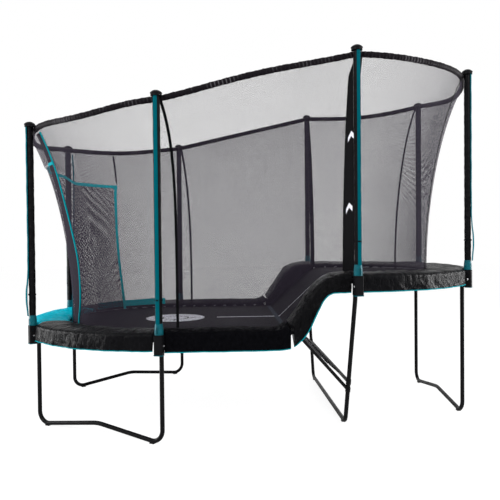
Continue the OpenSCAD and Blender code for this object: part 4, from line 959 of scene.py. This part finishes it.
class TRAMPOLINE_OT_tension_panel(Piece, bpy.types.Operator):
    """The panel that draws the crease down towards the cross bar, and its springs."""

    bl_idname = "trampoline.tension_panel"
    bl_label = "Tension Panel"

    def execute(self, context):
        sizes = context.scene.trampoline.sizes
        way = (BAR_AT - PANEL_TOP) / np.linalg.norm(BAR_AT - PANEL_TOP)
        out = np.array([-way[1], way[0]])
        long = float(np.linalg.norm(BAR_AT - PANEL_TOP)) - TUBE_R + 0.0027 - PANEL_SPRING
        across = np.linspace(-PANEL_HALF, PANEL_HALF, 120)
        s, y = np.meshgrid(np.linspace(0, long - PANEL_ROLL, 24), across, indexing="ij")
        share = s / long
        lift = 0.0012 * np.cos(2 * math.pi * y / 0.153) * share**2
        plane = PANEL_TOP[None, None] + s[..., None] * way + (lift + 0.0015)[..., None] * out
        top = np.stack([plane[..., 0], y, plane[..., 1]], -1)
        skin = Skin()
        skin.cloth(top, np.array([-out[0], 0, -out[1]]), 0.003, lengths_uv(top))
        panel = skin.build("tension_cloth", finish_of("jump_mat"))
        roll = Skin()
        ys = np.linspace(-PANEL_HALF, PANEL_HALF, 60)
        centre = PANEL_TOP + (long - PANEL_ROLL) * way
        path = np.stack([np.full_like(ys, centre[0]), ys, np.full_like(ys, centre[1])], -1)
        roll.tube(sweep(path, PANEL_ROLL + 0.0004 * np.sin(ys * 40), 14, (1, 0, 0)))
        hem = roll.build("tension_hem", finish_of("jump_mat"))
        springs = Skin()
        far = PANEL_TOP + (long - 0.002) * way
        bar = BAR_AT - way * (TUBE_R - 0.003)
        for at in ((np.arange(PANEL_COUNT) + 0.5) / PANEL_COUNT * 2 - 1) * PANEL_HALF:
            add_coil(springs, (far[0], at, far[1]), (bar[0], at, bar[1]), sizes, PANEL_TURNS, PANEL_HOOK)
        coils = springs.build("tension_coils", finish_of("dark_wire"))
        for obj, slot, node in ((panel, "jump_mat", "tension_panel"), (hem, "jump_mat", "tension_panel"),
                                (coils, "zinc_steel", "springs_tension")):
            join_across(obj, node)
        return {"FINISHED"}


# ---- pads ----
SLIT_HALF, SLIT_CLOSE, SLIT_SHUT = 0.046, 0.0385, 0.0345  # how far a skirt stops from a pole's axis
SKIRT_T = 0.0050
CRUMPLE = {"pads_ramp": 3.5}  # share of the creases, where it isn't the usual one
USUAL_CRUMPLE = 1.4
DRAPE = {"pads_ramp": 1.0, "pads_low_sides": 0.12}  # share of the slanting folds in the same way
USUAL_DRAPE = 0.45


def skirt_fold(s):
    """Folds of a skirt: three sines with so many degrees each millimetre, in metres outwards."""
    terms = ((0.0040, 1.21, 0), (0.0030, 0.53, 70), (0.0016, 3.1, 20))
    return sum(a * np.sin(np.radians(1000 * s * turn + phase)) for a, turn, phase in terms)


def pad_sections(s, hang, crease, squeeze, deep):
    """Control points (radius, height over the rail) of a pad's closed section at each length s.

    They go from the underside up the inner edge, over the crown, down the skirt's outer face to deep below the
    rail, and back up its inner face.
    """
    f = skirt_fold(s) * hang
    out = np.where(hang > 0.01, SKIRT_R + 0.012, RAIL_R + 0.010)
    n = len(s)
    foot = PAD_FOOT
    wrinkle = creases(s, [(crease, 0.173, 0.3, 5), (0.7 * crease, 0.087, 1.1, 7), (0.5 * crease, 0.291, 2.0, 4)])
    swell = waves(s, [(0.003, 0.61, 0.4), (0.002, 0.37, 1.7), (0.0016, 0.23, 0.9)])
    bite = waves(s, [(0.004, 0.41, 0.2), (0.003, 0.19, 1.3), (0.002, 0.83, 2.2)])
    drop = -deep * hang + (1 - hang) * (foot + 0.002)
    waist = -deep * 0.35 * hang + (1 - hang) * (foot + 0.007)
    one = np.ones(n)
    rows = [
        (1.060 * one, foot * one),
        (1.028 + bite * 0.5, foot * one),
        (1.020 + bite, foot + 0.011 + 0.3 * swell),
        (1.040 + bite, foot + 0.029 + 0.5 * swell - 0.4 * wrinkle),
        (1.085 * one, foot + 0.0385 + swell - 0.2 * wrinkle),
        (1.150 * one, foot + 0.0455 + swell + 0.35 * wrinkle),
        (1.235 * one, foot + 0.0500 + swell + 0.6 * wrinkle),
        (1.305 * one, foot + 0.0480 + 0.7 * swell + 0.4 * wrinkle),
        (out - 0.028, foot + 0.0400 + 0.4 * swell - 0.2 * wrinkle),
        (out - 0.006, foot + 0.0250 - 0.2 * wrinkle),
        (out + 0.2 * f, foot + 0.0060 * one),
        (out + 0.6 * f + squeeze * 0.4 * hang, waist),
        (out + 0.9 * f + squeeze * hang, 0.55 * waist + 0.45 * drop),
        (out + f, drop),
        (out + f - SKIRT_T / 2, drop - 0.001 * hang),
        (out + f - SKIRT_T, drop),
        (out + 0.9 * f + squeeze * hang - SKIRT_T, 0.55 * waist + 0.45 * drop),
        (out + 0.6 * f + squeeze * 0.4 * hang - SKIRT_T, waist),
        (out - 0.0060, foot - 0.003 * hang),
        (out - 0.0160, foot * one),
        (1.200 * one, foot * one),
    ]
    return np.stack([np.stack([np.broadcast_to(r, n), np.broadcast_to(h, n)], -1) for r, h in rows], 1)


def drapes(s, h):
    """Slanting folds of a loose skirt at lengths s and heights h, in metres outwards: none at its ends and top.

    Each set is the square of one less an absolute sine of the length and a share of the height.
    """
    free = np.clip((s - s.min() - 0.05) / 0.07, 0, 1) * np.clip((s.max() - 0.05 - s) / 0.07, 0, 1)
    wide = 1 - np.abs(np.sin(math.pi * (s + 0.9 * h) / 0.113 + 0.4))
    narrow = 1 - np.abs(np.sin(math.pi * (s - 0.6 * h) / 0.067 + 1.1))
    return (0.0130 * wide**2 + 0.0060 * narrow**2) * free * np.clip(-h / 0.045, 0, 1)


def pad_points(bay, t, section, lean_share=1.0):
    """Places sections at shares t of a bay, square to the rail where it climbs. Skirts lean with it by a share."""
    r, h = section[..., 0], section[..., 1]
    cx, a = bay_way(bay, t)
    cx, a = cx[:, None], a[:, None]
    lean_share = np.broadcast_to(lean_share, cx.shape[:1])[:, None]
    if bay[0] == 0:
        lean, base = rail_angle(cx), LOW_DECK + rail_rise(cx)
    else:
        lean, base = 0 * cx, (LOW_DECK if bay[0] < 0 else HIGH_DECK) + 0 * cx
    high, low = np.maximum(h, PAD_FOOT), np.minimum(h - PAD_FOOT, 0)
    hung = lean * lean_share
    x = cx + r * np.cos(a) - high * np.sin(lean) - low * np.sin(hung)
    y = r * np.sin(a) + 0 * cx
    return np.stack([x, y, base + high * np.cos(lean) + low * np.cos(hung)], -1)


def pad_stations(start, end, cut_start, cut_end, step=0.012):
    """Lengths along a pad, close together where its skirt is cut back beside a pole, and the share that hangs."""
    e, f = cut_start, cut_end
    a = start + e + 0.006 if e else start
    c = end - f - 0.006 if f else end
    body = np.linspace(a, c, max(int((c - a) / step), 8))
    first = np.array([start, start + e * 0.5, start + e, start + e + 0.003]) if e else np.zeros(0)
    last = np.array([end - f - 0.003, end - f, end - f * 0.5, end]) if f else np.zeros(0)
    s = np.r_[first, body, last]
    hang = np.r_[np.array([0, 0, 0, 0.6])[: len(first)], np.ones(len(body)), np.array([0.6, 0, 0, 0])[: len(last)]]
    return s, hang


def skirt_depth(bay, t):
    """Depth of a skirt below its rail, and how far it leans with the climbing rail."""
    if bay[0]:
        return np.full_like(t, SKIRT_ARC), np.ones_like(t)
    x = bay_way(bay, t)[0]
    rise = rail_rise(x)
    at = [0.29, 0.34, 0.38, 0.42, 0.46, 0.50, 0.54, 0.58, 0.62, 0.66, 0.70, 0.80]
    deep = [0.126, 0.152, 0.174, 0.176, 0.156, 0.124, 0.090, 0.070, 0.074, 0.084, 0.088, 0.083]
    return np.where(x < 0.285, SKIRT_SIDE + 0.6 * rise, np.interp(x, at, deep)), np.zeros_like(x)


def make_pad(name, node, bay, ends, cuts, cover, phase, slot="pad_black"):
    """A pad between two lengths along its bay, its skirt cut back beside the poles, with piping on the lower edge."""
    sizes, run = bpy.context.scene.trampoline.sizes, net_run(bay)
    s, hang = pad_stations(*ends, *cuts)
    squeeze = waves(s + phase, [(0.003, 0.33, 0.5), (0.002, 0.21, 1.9)])
    deep, lean_share = skirt_depth(bay, s / run)
    crumple, loose = CRUMPLE.get(node, USUAL_CRUMPLE), DRAPE.get(node, USUAL_DRAPE)
    section = pad_sections(s + phase, hang, crumple * sizes.crease, crumple * squeeze, deep)
    fine = curve_through(section, 3)
    fine[..., 0] += loose * drapes(s[:, None], fine[..., 1])
    points = pad_points(bay, s / run, fine, lean_share)
    skin = Skin()
    steps = np.linalg.norm(np.diff(np.concatenate([fine, fine[:, :1]], 1).mean(0), axis=0), axis=1)
    v = np.r_[0, np.cumsum(steps)]
    uv = np.stack(np.meshgrid(s - s[0] + phase, v, indexing="ij"), -1)
    skin.tube(points, uv=uv)
    obj = skin.build(name, finish_of(cover), sharp=60)
    join_body(obj, ROOT, slot, node)
    keep, low = hang > 0.99, section[:, 14, 1]  # the skirt's lowest control point
    edge = np.stack([section[:, 13:16, 0].mean(1) + loose * drapes(s, low), low - 0.002], -1)[keep]
    line = pad_points(bay, s[keep] / run, edge[:, None], lean_share[keep])[:, 0]
    pipe = Skin()
    pipe.tube(sweep(line, sizes.piping_r, 8))
    join_body(pipe.build(name + "_piping", finish_of("bright_cloth")), ROOT, "teal_cloth")


def make_flap(word, side):
    """Flap from the ramp pad's inner edge down to the sloping mat, in a slight curve with shallow folds."""
    x, u = np.linspace(0.246, 0.812, 96)[:, None], np.linspace(0, 1, 14)[None]
    lean, up = rail_angle(x), PAD_FOOT + 0.008
    top_x, top_z = x - up * np.sin(lean), LOW_DECK + rail_rise(x) + up * np.cos(lean)
    foot_z = mat_top(x) + 0.0035
    fold = waves(x + 0.12 * u, [(0.0030, 0.113, 0.4), (0.0022, 0.061, 1.7)]) * np.sin(math.pi * np.clip(u, 0, 0.85))
    y = 1.0290 + 0.004 * u + 0.006 * np.sin(math.pi * u) + fold
    grid = np.stack([top_x * (1 - u) + x * u, side * y, top_z * (1 - u) + foot_z * u], -1)
    skin = Skin()
    skin.cloth(grid, normals_of(grid), 0.0015, upright_uv(grid))
    obj = join_body(skin.build(f"ramp_flap_{word}", finish_of("pad_cover")), ROOT, "pad_black")


class TRAMPOLINE_OT_pads(Piece, bpy.types.Operator):
    """Ten padded covers over the springs and rails, with hanging skirts and piping."""

    bl_idname = "trampoline.pads"
    bl_label = "Pads"

    def execute(self, context):
        arcs = {0: "pads_left_front", 7: "pad_entrance", 6: "pads_left_back", 2: "pads_right_front",
                3: "pad_right_end", 4: "pads_right_back"}
        for k, node in arcs.items():
            cover, slot = ("entrance_cover", "pad_cyan") if k == 7 else ("pad_cover", "pad_black")
            cuts = (SLIT_CLOSE if k == 2 else SLIT_HALF, SLIT_HALF)
            name = node.replace("pads_", "pad_") + "_cover"
            make_pad(name, node, BAYS[k], (0.001, ARC_LEN - 0.001), cuts, cover, 1.37 * k, slot)
        for k, word, side in ((1, "front", -1), (5, "back", 1)):
            bay = BAYS[k]
            for node, x0, x1, pole, cover, phase in (
                ("pads_low_sides", -0.814, 0.272, -1, "side_cover", 0.77 * k),
                ("pads_ramp", 0.298, 0.814, 1, "ramp_cover", 0.77 * k + 2.1),
            ):
                ends = sorted(side_t(bay, x) * SIDE_LEN for x in (x0, x1))
                cut = SLIT_SHUT if (k, pole) == (1, -1) else SLIT_HALF
                cuts = (0, cut) if side_t(bay, pole * HALF) > 0.5 else (cut, 0)
                make_pad(f"{node}_{word}", node, bay, ends, cuts, cover, phase)
            make_flap(word, side)
        return {"FINISHED"}


# ---- pole sleeves ----
SIDES = 32  # faces round a sleeve
TIE_UP = 0.190  # height of a tie over its sleeve's foot
TIE_SECTION = np.array([(0.0000, -0.007), (0.0022, -0.006), (0.0022, 0.006), (0.0000, 0.007)])
LOOSE_POLES = (0, 3)  # their strips stand off the sleeve, most near the foot


def sleeve_rings(p, sizes):
    """A sleeve with rounded ends: its radius has two slow waves up the pole, which also turn with the angle."""
    a = np.linspace(0, 2 * math.pi, SIDES, endpoint=False)
    z = np.linspace(SLEEVE_FOOT, POLES[p, 3] - CAP_H - 0.0003, 150)
    ends = np.clip(np.minimum(z - z[0], z[-1] - z) / 0.006, 0, 1) ** 0.5
    way = z[:, None] * (1 + 0.13 * p) + 0.02 * np.cos(a + p)[None]
    r = sizes.sleeve_r - 0.0015 + 0.0015 * ends[:, None] + waves(way, [(0.0007, 0.21, p), (0.0005, 0.083, 2 * p)])
    rings = np.stack([r * np.cos(a), r * np.sin(a), np.broadcast_to(z[:, None], r.shape)], -1)
    uv = np.stack(np.meshgrid(z, np.linspace(0, 2 * math.pi * sizes.sleeve_r, SIDES + 1), indexing="ij"), -1)
    return rings, uv


def strip_grid(p, sizes):
    """A strip up the sleeve's outboard side: it stands off by a small bell curve near its foot and slow waves."""
    half = sizes.strip_half / sizes.sleeve_r
    b = np.linspace(-half, half, 11)
    z = np.linspace(SLEEVE_FOOT - 0.004, POLES[p, 3] - CAP_H - 0.0003, 120)
    off, bell = (0.0075, 0.020) if p in LOOSE_POLES else (0.0030, 0.0015)
    near = np.exp(-(((z - SLEEVE_FOOT - 0.16) / 0.17) ** 2)) * bell
    loose = off + near + waves(z + 0.3 * p, [(0.0008, 0.31, 0.7), (0.0005, 0.13, 2.1)])
    r = sizes.sleeve_r + loose[:, None] + 0 * b[None]
    grid = np.stack([r * np.cos(b), r * np.sin(b), np.broadcast_to(z[:, None], r.shape)], -1)
    return grid, np.stack([np.cos(b), np.sin(b), 0 * b], -1)[None] + 0 * grid


def tie_rings(sizes):
    """A band round the sleeve and its strip: the radius has a bell curve in front of the strip."""
    ring = np.linspace(0, 2 * math.pi, 41)[:-1]
    swell = 0.0035 * np.exp(-((np.minimum(ring, 2 * math.pi - ring) / 0.75) ** 2))
    r = (sizes.sleeve_r + 0.0015 + swell)[:, None] + TIE_SECTION[None, :, 0]
    z = SLEEVE_FOOT + TIE_UP + TIE_SECTION[None, :, 1] + 0 * r
    return np.stack([r * np.cos(ring)[:, None], r * np.sin(ring)[:, None], z], -1)


class TRAMPOLINE_OT_sleeves(Piece, bpy.types.Operator):
    """Foam sleeves with their coloured strips and ties."""

    bl_idname = "trampoline.sleeves"
    bl_label = "Pole Sleeves"

    def execute(self, context):
        sizes = context.scene.trampoline.sizes
        sleeves, strips, ties = Skin(), Skin(), Skin()
        for p in range(len(POLES)):
            place = pole_frame(p)
            rings, uv = sleeve_rings(p, sizes)
            sleeves.tube(placed(place, rings), uv=uv)
            strip, out = strip_grid(p, sizes)
            turned = placed(place, out) - np.array(place)[:3, 3]
            strips.cloth(placed(place, strip - out * 0.0025), turned, 0.0035, lengths_uv(strip))
            ties.grid(placed(place, tie_rings(sizes)), loop_rows=True, loop_cols=True)
        foam = join_body(sleeves.build("foam_sleeves", finish_of("foam_cover")), ROOT, "foam_sleeve", "pole_sleeves")
        strip = join_body(strips.build("sleeve_strips", finish_of("teal_cloth")), ROOT, "teal_cloth", "pole_strips")
        join_body(ties.build("sleeve_tie_bands", finish_of("webbing")), ROOT, "webbing", "sleeve_ties")
        return {"FINISHED"}


# ---- enclosure net ----
NET_THICK = 0.0007
BAY_DEG = 60  # span of a bay round the ends
DOOR_ANGLE, SIDE_ANGLE = 150, 90  # where the entrance bay and the bay before it start
CURTAIN_A0, CURTAIN_A1 = 207.0, 127.0  # angles of the curtain's sewn edge and its free edge


def door_head(angle):
    """Height of the doorway's upper edge: level, then a smooth rise towards the first pole."""
    u = np.clip((np.asarray(angle, float) - 155) / 12, 0, 1)
    return DOOR_TOP + 0.030 + 0.062 * u * u * (3 - 2 * u)


def pleats(t, h, run):
    """Soft upright pleats, deepest at the ring and the mat, in metres outwards."""
    s = np.asarray(t) * run
    top = waves(s, [(0.0012, 0.143, 0.5), (0.0006, 0.083, 1.9), (0.0026, 0.31, 0.2)])
    low = waves(s, [(0.0008, 0.117, 1.5), (0.0004, 0.067, 0.3)])
    still = np.clip(np.minimum(t, 1 - np.asarray(t)) * 12, 0, 1)
    return still * (top * h**3 * (1 - h**12) + low * (1 - h) ** 3 * (h > 0.01))


def net_run(bay):
    """Length of a bay along its rail."""
    return SIDE_LEN if bay[0] == 0 else ARC_LEN


def net_patch(bay, t, h, off):
    """Grid of the net without its pleats, at shares t and height shares h, moved off outwards."""
    tt, hh = np.meshgrid(t, h, indexing="ij")
    return net_spot(bay, tt, hh, off)


def net_stations(bay):
    """Shares along a bay, closer together where the mat climbs."""
    t = np.linspace(0.0008, 0.9992, 72)
    if bay[0] == 0:
        t = np.unique(np.r_[t, side_t(bay, np.linspace(CREASE_X - 0.02, HALF - 0.004, 36))])
    return t


def upright_uv(points):
    """UV in metres with V up the cloth, from running lengths along both ways of the grid."""
    along = np.cumsum(np.linalg.norm(np.diff(points, axis=0, prepend=points[:1]), axis=-1), axis=0)
    up = np.cumsum(np.linalg.norm(np.diff(points, axis=1, prepend=points[:, :1]), axis=-1), axis=1)
    middle = along[:, points.shape[1] // 2 : points.shape[1] // 2 + 1]
    return np.stack([np.broadcast_to(middle, up.shape), up], -1)


def net_sheet(name, points, key):
    """A piece of net through a grid of points."""
    skin = Skin()
    skin.cloth(points, normals_of(points), NET_THICK, upright_uv(points))
    return skin.build(name, finish_of(key))


class TRAMPOLINE_OT_net(Piece, bpy.types.Operator):
    """The net between the poles, in one piece for each bay."""

    bl_idname = "trampoline.net"
    bl_label = "Net"

    def execute(self, context):
        names = {0: "net_left_front", 1: "net_front", 2: "net_right_front", 3: "net_right_end",
                 4: "net_right_back", 5: "net_back", 6: "net_left_back", 7: "net_entrance_top"}
        for k, node in names.items():
            bay, t = BAYS[k], net_stations(BAYS[k])
            low = net_share(bay, t, door_head(DOOR_ANGLE + BAY_DEG * t) + 0.006) if k == 7 else 0 * t
            h = low[:, None] + (1 - low[:, None]) * (np.linspace(0, 1, 60) ** 0.85)[None]
            tt = np.broadcast_to(t[:, None], h.shape)
            points = net_spot(bay, tt, h, pleats(tt, h, net_run(bay)))
            knit = "net_knit_side" if k in (3, 4) else "net_knit_back" if k in (5, 6) else "net_knit"
            obj = join_body(net_sheet(node + "_panel", points, knit), ROOT, "net_black", node)
        return {"FINISHED"}


HEM_GAP, HEM_PUFF = 0.0042, 0.0042  # gap at each pole, and how far the gathers stand out


class TRAMPOLINE_OT_hem(Piece, bpy.types.Operator):
    """The cloth tube round the ring rods, from pole to pole."""

    bl_idname = "trampoline.hem"
    bl_label = "Top Hem"

    def execute(self, context):
        skin = Skin()
        for bay in BAYS:
            t = np.linspace(HEM_GAP / ARC_LEN, 1 - HEM_GAP / ARC_LEN, 110)
            s = t * net_run(bay)
            path = bay_spot(bay, t, RING_R + bow(bay, t), ring_z(bay, t))
            radius = HEM_R + HEM_PUFF + waves(s, [(0.0011, 0.061, 0.3), (0.0010, 0.027, 1.2), (0.0009, 0.15, 2.2)])
            rings = sweep(path, radius, 16, (0, 0, 1), 1.03)
            uv = np.stack(np.meshgrid(s, np.linspace(0, 2 * math.pi * HEM_R, 17), indexing="ij"), -1)
            skin.tube(rings, uv=uv)
        obj = skin.build("net_hem_tube", finish_of("hem_cloth"))
        join_body(obj, ROOT, "net_black", "net_hem")
        return {"FINISHED"}


def girth_spot(pole, along, h, off=0.0):
    """Point of the net at a distance along it from a pole: on the next bay if positive, else on the one before."""
    spots = []
    for bay, start in ((BAYS[pole - 1], 1), (BAYS[pole], 0)):
        reach = SIDE_LEN if bay[0] == 0 else net_radius(bay, 0 * h, h) * math.pi / 3
        t = np.clip(start + along / reach, 0, 1)
        spots.append(net_spot(bay, t, h, off + pleats(t, h, net_run(bay))))
    return np.where((along < 0)[..., None], spots[0], spots[1])


def outward(points, n):
    """The normals, turned to point away from the oval's middle line."""
    spine = np.stack([np.clip(points[..., 0], -HALF, HALF), 0 * points[..., 0], points[..., 2]], -1)
    return n * np.sign((n * (points - spine)).sum(-1).mean())


def strap(skin, pole, left, right, h, thick=0.003, off=0.0030):
    """A band on the outside of the net between two edge lines, each a distance along the net for each height."""
    share = np.linspace(0, 1, 5)[:, None]
    hh = np.broadcast_to(h, (5, len(h)))
    points = girth_spot(pole, left * (1 - share) + right * share, hh, off)
    skin.cloth(points, outward(points, normals_of(points)), thick, upright_uv(points))
    return points


HOLD_SPAN = (0.81, 0.99)  # height shares of the strap that holds the curtain's corner


class TRAMPOLINE_OT_straps(Piece, bpy.types.Operator):
    """Webbing on the net behind each pole, the broad band, and the strap that holds the curtain's corner."""

    bl_idname = "trampoline.straps"
    bl_label = "Straps"

    def execute(self, context):
        sizes = context.scene.trampoline.sizes
        skin, wide = Skin(), Skin()
        h = np.linspace(0, 0.997, 64)
        slants = {1: 0.03 + 0.095 * (1 - h**6), 6: -0.035 - 0.125 * (1 - h**3)}
        for pole in range(1, 7):
            w = {2: sizes.banner_w, 5: 2 * sizes.strap_w}.get(pole, sizes.strap_w) / 2
            middle = slants.get(pole, 0 * h)
            if pole == 2:
                strap(wide, pole, -0.046 * np.clip((1 - h) / 0.07, 0.2, 1), middle + w, h)
            else:
                strap(skin, pole, middle - w, middle + w, h)
        hold = np.linspace(*HOLD_SPAN, 20)
        at = -(DOOR_ANGLE - CURTAIN_A1) / BAY_DEG * net_radius(BAYS[6], 0 * hold, hold) * math.pi / 3
        at = at - 0.030 * (hold - HOLD_SPAN[0]) / 0.18 - 0.012
        strap(skin, 7, at - 0.011, at + 0.011, hold)
        obj = join_body(skin.build("net_webbing", finish_of("webbing")), ROOT, "webbing", "net_straps")
        band = join_body(wide.build("net_broad_band", finish_of("banner_cloth")), ROOT, "webbing", "net_straps")
        return {"FINISHED"}


# ---- doorway ----
CURTAIN_OFF, CURTAIN_FOOT = -0.014, LOW_DECK + MAT_LIFT + 0.014  # how far it hangs inside the net, and its lower edge
CURTAIN_HEAD = DOOR_TOP + 0.03
HINGE_Z = 0.9
PLUMB = 3.2  # degrees that the middle of the free edge stands closer to the hinge, so that it hangs plumb
# height shares, and the share of the entrance bay where the doorway's slanting edge stands
EDGE_UP, EDGE_AT = [0, 0.12, 0.35, 0.58, 0.80, 0.90, 1.0], [0.65, 0.575, 0.408, 0.25, 0.113, 0.055, 0.0]
# height shares, and the distance along the net of the first pole's wrap
WRAP_UP = [0.02, 0.10, 0.20, 0.35, 0.50, 0.65, 0.80, 0.90, 0.97]
WRAP_AT = [0.075, 0.125, 0.155, 0.170, 0.132, 0.103, 0.103, 0.095, 0.095]


def door_points(angles, zs, off):
    """Grid on the inside of the net round the doorway. Heights are one row, or a row for each angle.

    The free edge hangs plumb, so halfway down the cloth it stands up to PLUMB degrees closer to the hinge.
    """
    zz = np.broadcast_to(zs, (len(angles), np.shape(zs)[-1]))
    down = np.clip((CURTAIN_HEAD - zz) / (CURTAIN_HEAD - CURTAIN_FOOT), 0, 1)
    angle = np.asarray(angles, float)[:, None]
    free = np.clip((CURTAIN_A0 - angle) / (CURTAIN_A0 - CURTAIN_A1), 0, 1) ** 2
    angle = angle + PLUMB * np.sin(math.pi * down) * free
    spots = []
    for bay, base in ((BAYS[7], DOOR_ANGLE), (BAYS[6], SIDE_ANGLE)):
        t = (angle - base) / BAY_DEG
        h = net_share(bay, t, zz)
        spots.append(bay_spot(bay, t, net_radius(bay, t, h) + off, zz))
    return np.where((angle > DOOR_ANGLE)[..., None], spots[0], spots[1])


def edge_share(h):
    """Share of the entrance bay where the doorway's slanting edge stands: straight between its points."""
    return np.interp(h, EDGE_UP, EDGE_AT)


def wrap_edge(h):
    """Distance along the net of the wrap's edge: straight between its points, then the mean of nine neighbours."""
    return np.convolve(np.pad(np.interp(h, WRAP_UP, WRAP_AT), 4, mode="edge"), np.ones(9) / 9, mode="valid")


def cord_on(name, line, radius, finish):
    """A round cord along a line of points."""
    skin = Skin()
    skin.tube(sweep(line, radius, 10, (0.3, 1, 0)))
    join_body(skin.build(name, finish_of(finish)), ROOT, "teal_cloth")


class TRAMPOLINE_OT_curtain(Piece, bpy.types.Operator):
    """The entrance curtain, sewn to the net at the first pole, with its bindings."""

    bl_idname = "trampoline.curtain"
    bl_label = "Entrance Curtain"

    def execute(self, context):
        angles, share = np.linspace(CURTAIN_A0, CURTAIN_A1, 110), np.linspace(0, 1, 70)[None]
        head = door_head(angles)[:, None]
        zs = CURTAIN_FOOT + share * (head - CURTAIN_FOOT)
        s = np.radians(CURTAIN_A0 - angles)[:, None]
        billow = waves(s, [(0.0016, 0.17, 0.5), (0.003, 0.61, 1.2)]) * (1 - share)
        billow = billow + waves(s + 0.15 * share, [(0.002, 0.43, 2.0)]) * share
        points = door_points(angles, zs, CURTAIN_OFF + billow * 0.8)
        curtain = net_sheet("entrance_curtain_net", points, "net_curtain")

        trim = Skin()
        edge = np.linspace(CURTAIN_A1 + 1.9, CURTAIN_A1, 5)
        corner = np.linspace(CURTAIN_A1 + 2.3, CURTAIN_A1 - 0.2, 5)
        for rows, low, high, steps, off in (
            (angles, door_head(angles) - 0.036, door_head(angles), 5, -0.0045),
            (edge, CURTAIN_FOOT + 0 * edge, door_head(edge) - 0.0363, 60, -0.0045),
            (corner, door_head(corner) - 0.048, door_head(corner) + 0.001, 5, -0.0085),
        ):
            rise = np.linspace(0, 1, steps)[None]
            grid = door_points(rows, low[:, None] * (1 - rise) + high[:, None] * rise, CURTAIN_OFF + off)
            trim.cloth(grid, normals_of(grid), 0.0025, upright_uv(grid))
        binding = trim.build("curtain_binding", finish_of("trim_cloth"))
        still, moving = (door_points([angle], [HINGE_Z], 0)[0, 0] for angle in (CURTAIN_A0, CURTAIN_A0 - 14))
        join_across(curtain, "entrance_curtain")
        join_across(binding, "curtain_trim")
        return {"FINISHED"}


class TRAMPOLINE_OT_doorway(Piece, bpy.types.Operator):
    """The net beside the doorway with its corded edge, the wrap at the first pole, and the low band."""

    bl_idname = "trampoline.doorway"
    bl_label = "Doorway"

    def execute(self, context):
        bay = BAYS[7]
        rise, across = np.linspace(0.003, 0.985, 50)[None], np.linspace(0.004, 1, 24)[:, None]
        h = rise * net_share(bay, np.array(0.0), CURTAIN_HEAD) + 0 * across
        grid = net_spot(bay, across * edge_share(h), h)
        panel = join_body(net_sheet("doorway_side_panel", grid, "net_knit"), ROOT, "net_black")
        h = np.linspace(0.004, 0.98, 120)
        cord_on("doorway_side_cord", net_spot(bay, edge_share(h), h, -0.004), 0.008, "teal_cloth")

        h = np.linspace(0.002, 0.985, 80)
        right = wrap_edge(h)
        wrap = Skin()
        grid = strap(wrap, 0, 0 * h - 0.035, right, h, 0.0015, 0.0040)
        band = join_body(wrap.build("first_pole_wrap", finish_of("net_wrap")), ROOT, "net_black", "door_trims")
        cord_on("first_pole_piping", girth_spot(0, right, h, 0.0065), 0.0075, "bright_cloth")
        tie, tie_h = Skin(), np.linspace(0.829, 0.843, 4)
        strap(tie, 0, 0 * tie_h - 0.04, np.interp(tie_h, h, right), tie_h, 0.0025, 0.0090)
        join_body(tie.build("first_pole_tie", finish_of("bright_cloth")), ROOT, "teal_cloth")

        low = Skin()
        grid = net_patch(BAYS[6], np.linspace(0.15, 0.995, 60), np.linspace(0.022, 0.060, 5), -0.0065)
        low.cloth(grid, outward(grid, normals_of(grid)), 0.003, upright_uv(grid))
        lower = join_body(low.build("door_low_band", finish_of("trim_cloth")), ROOT, "teal_cloth", "door_trims")
        return {"FINISHED"}


class TRAMPOLINE_PT_panel(bpy.types.Panel):
    """Lists the pieces and their settings."""

    bl_idname = "TRAMPOLINE_PT_panel"
    bl_label = "Trampoline"
    bl_space_type = "VIEW_3D"
    bl_region_type = "UI"
    bl_category = "Trampoline"

    def draw(self, context):
        settings = context.scene.trampoline
        for group in (settings.sizes, settings.colours):
            box = self.layout.box()
            for key in group.bl_rna.properties.keys():
                if key not in ("rna_type", "name"):
                    box.prop(group, key)
        for op in OPERATORS:
            self.layout.operator(op.bl_idname)


OPERATORS = (
    TRAMPOLINE_OT_stage, TRAMPOLINE_OT_hard_parts, TRAMPOLINE_OT_mats, TRAMPOLINE_OT_springs,
    TRAMPOLINE_OT_tension_panel, TRAMPOLINE_OT_pads, TRAMPOLINE_OT_sleeves, TRAMPOLINE_OT_net,
    TRAMPOLINE_OT_hem, TRAMPOLINE_OT_straps, TRAMPOLINE_OT_curtain, TRAMPOLINE_OT_doorway,
)
CLASSES = (TrampolineSizes, TrampolineColours, TrampolineSettings, *OPERATORS, TRAMPOLINE_PT_panel)


def register():
    """Adds the classes and the settings to Blender."""
    for cls in CLASSES:
        bpy.utils.register_class(cls)
    bpy.types.Scene.trampoline = PointerProperty(type=TrampolineSettings)


def unregister():
    """Takes the settings and the classes away again."""
    del bpy.types.Scene.trampoline
    for cls in reversed(CLASSES):
        bpy.utils.unregister_class(cls)


def main():
    """Builds every piece in order."""
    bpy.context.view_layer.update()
    register()
    for op in OPERATORS:
        group, name = op.bl_idname.split(".")
        getattr(getattr(bpy.ops, group), name)()


if __name__ == "__main__":
    main()
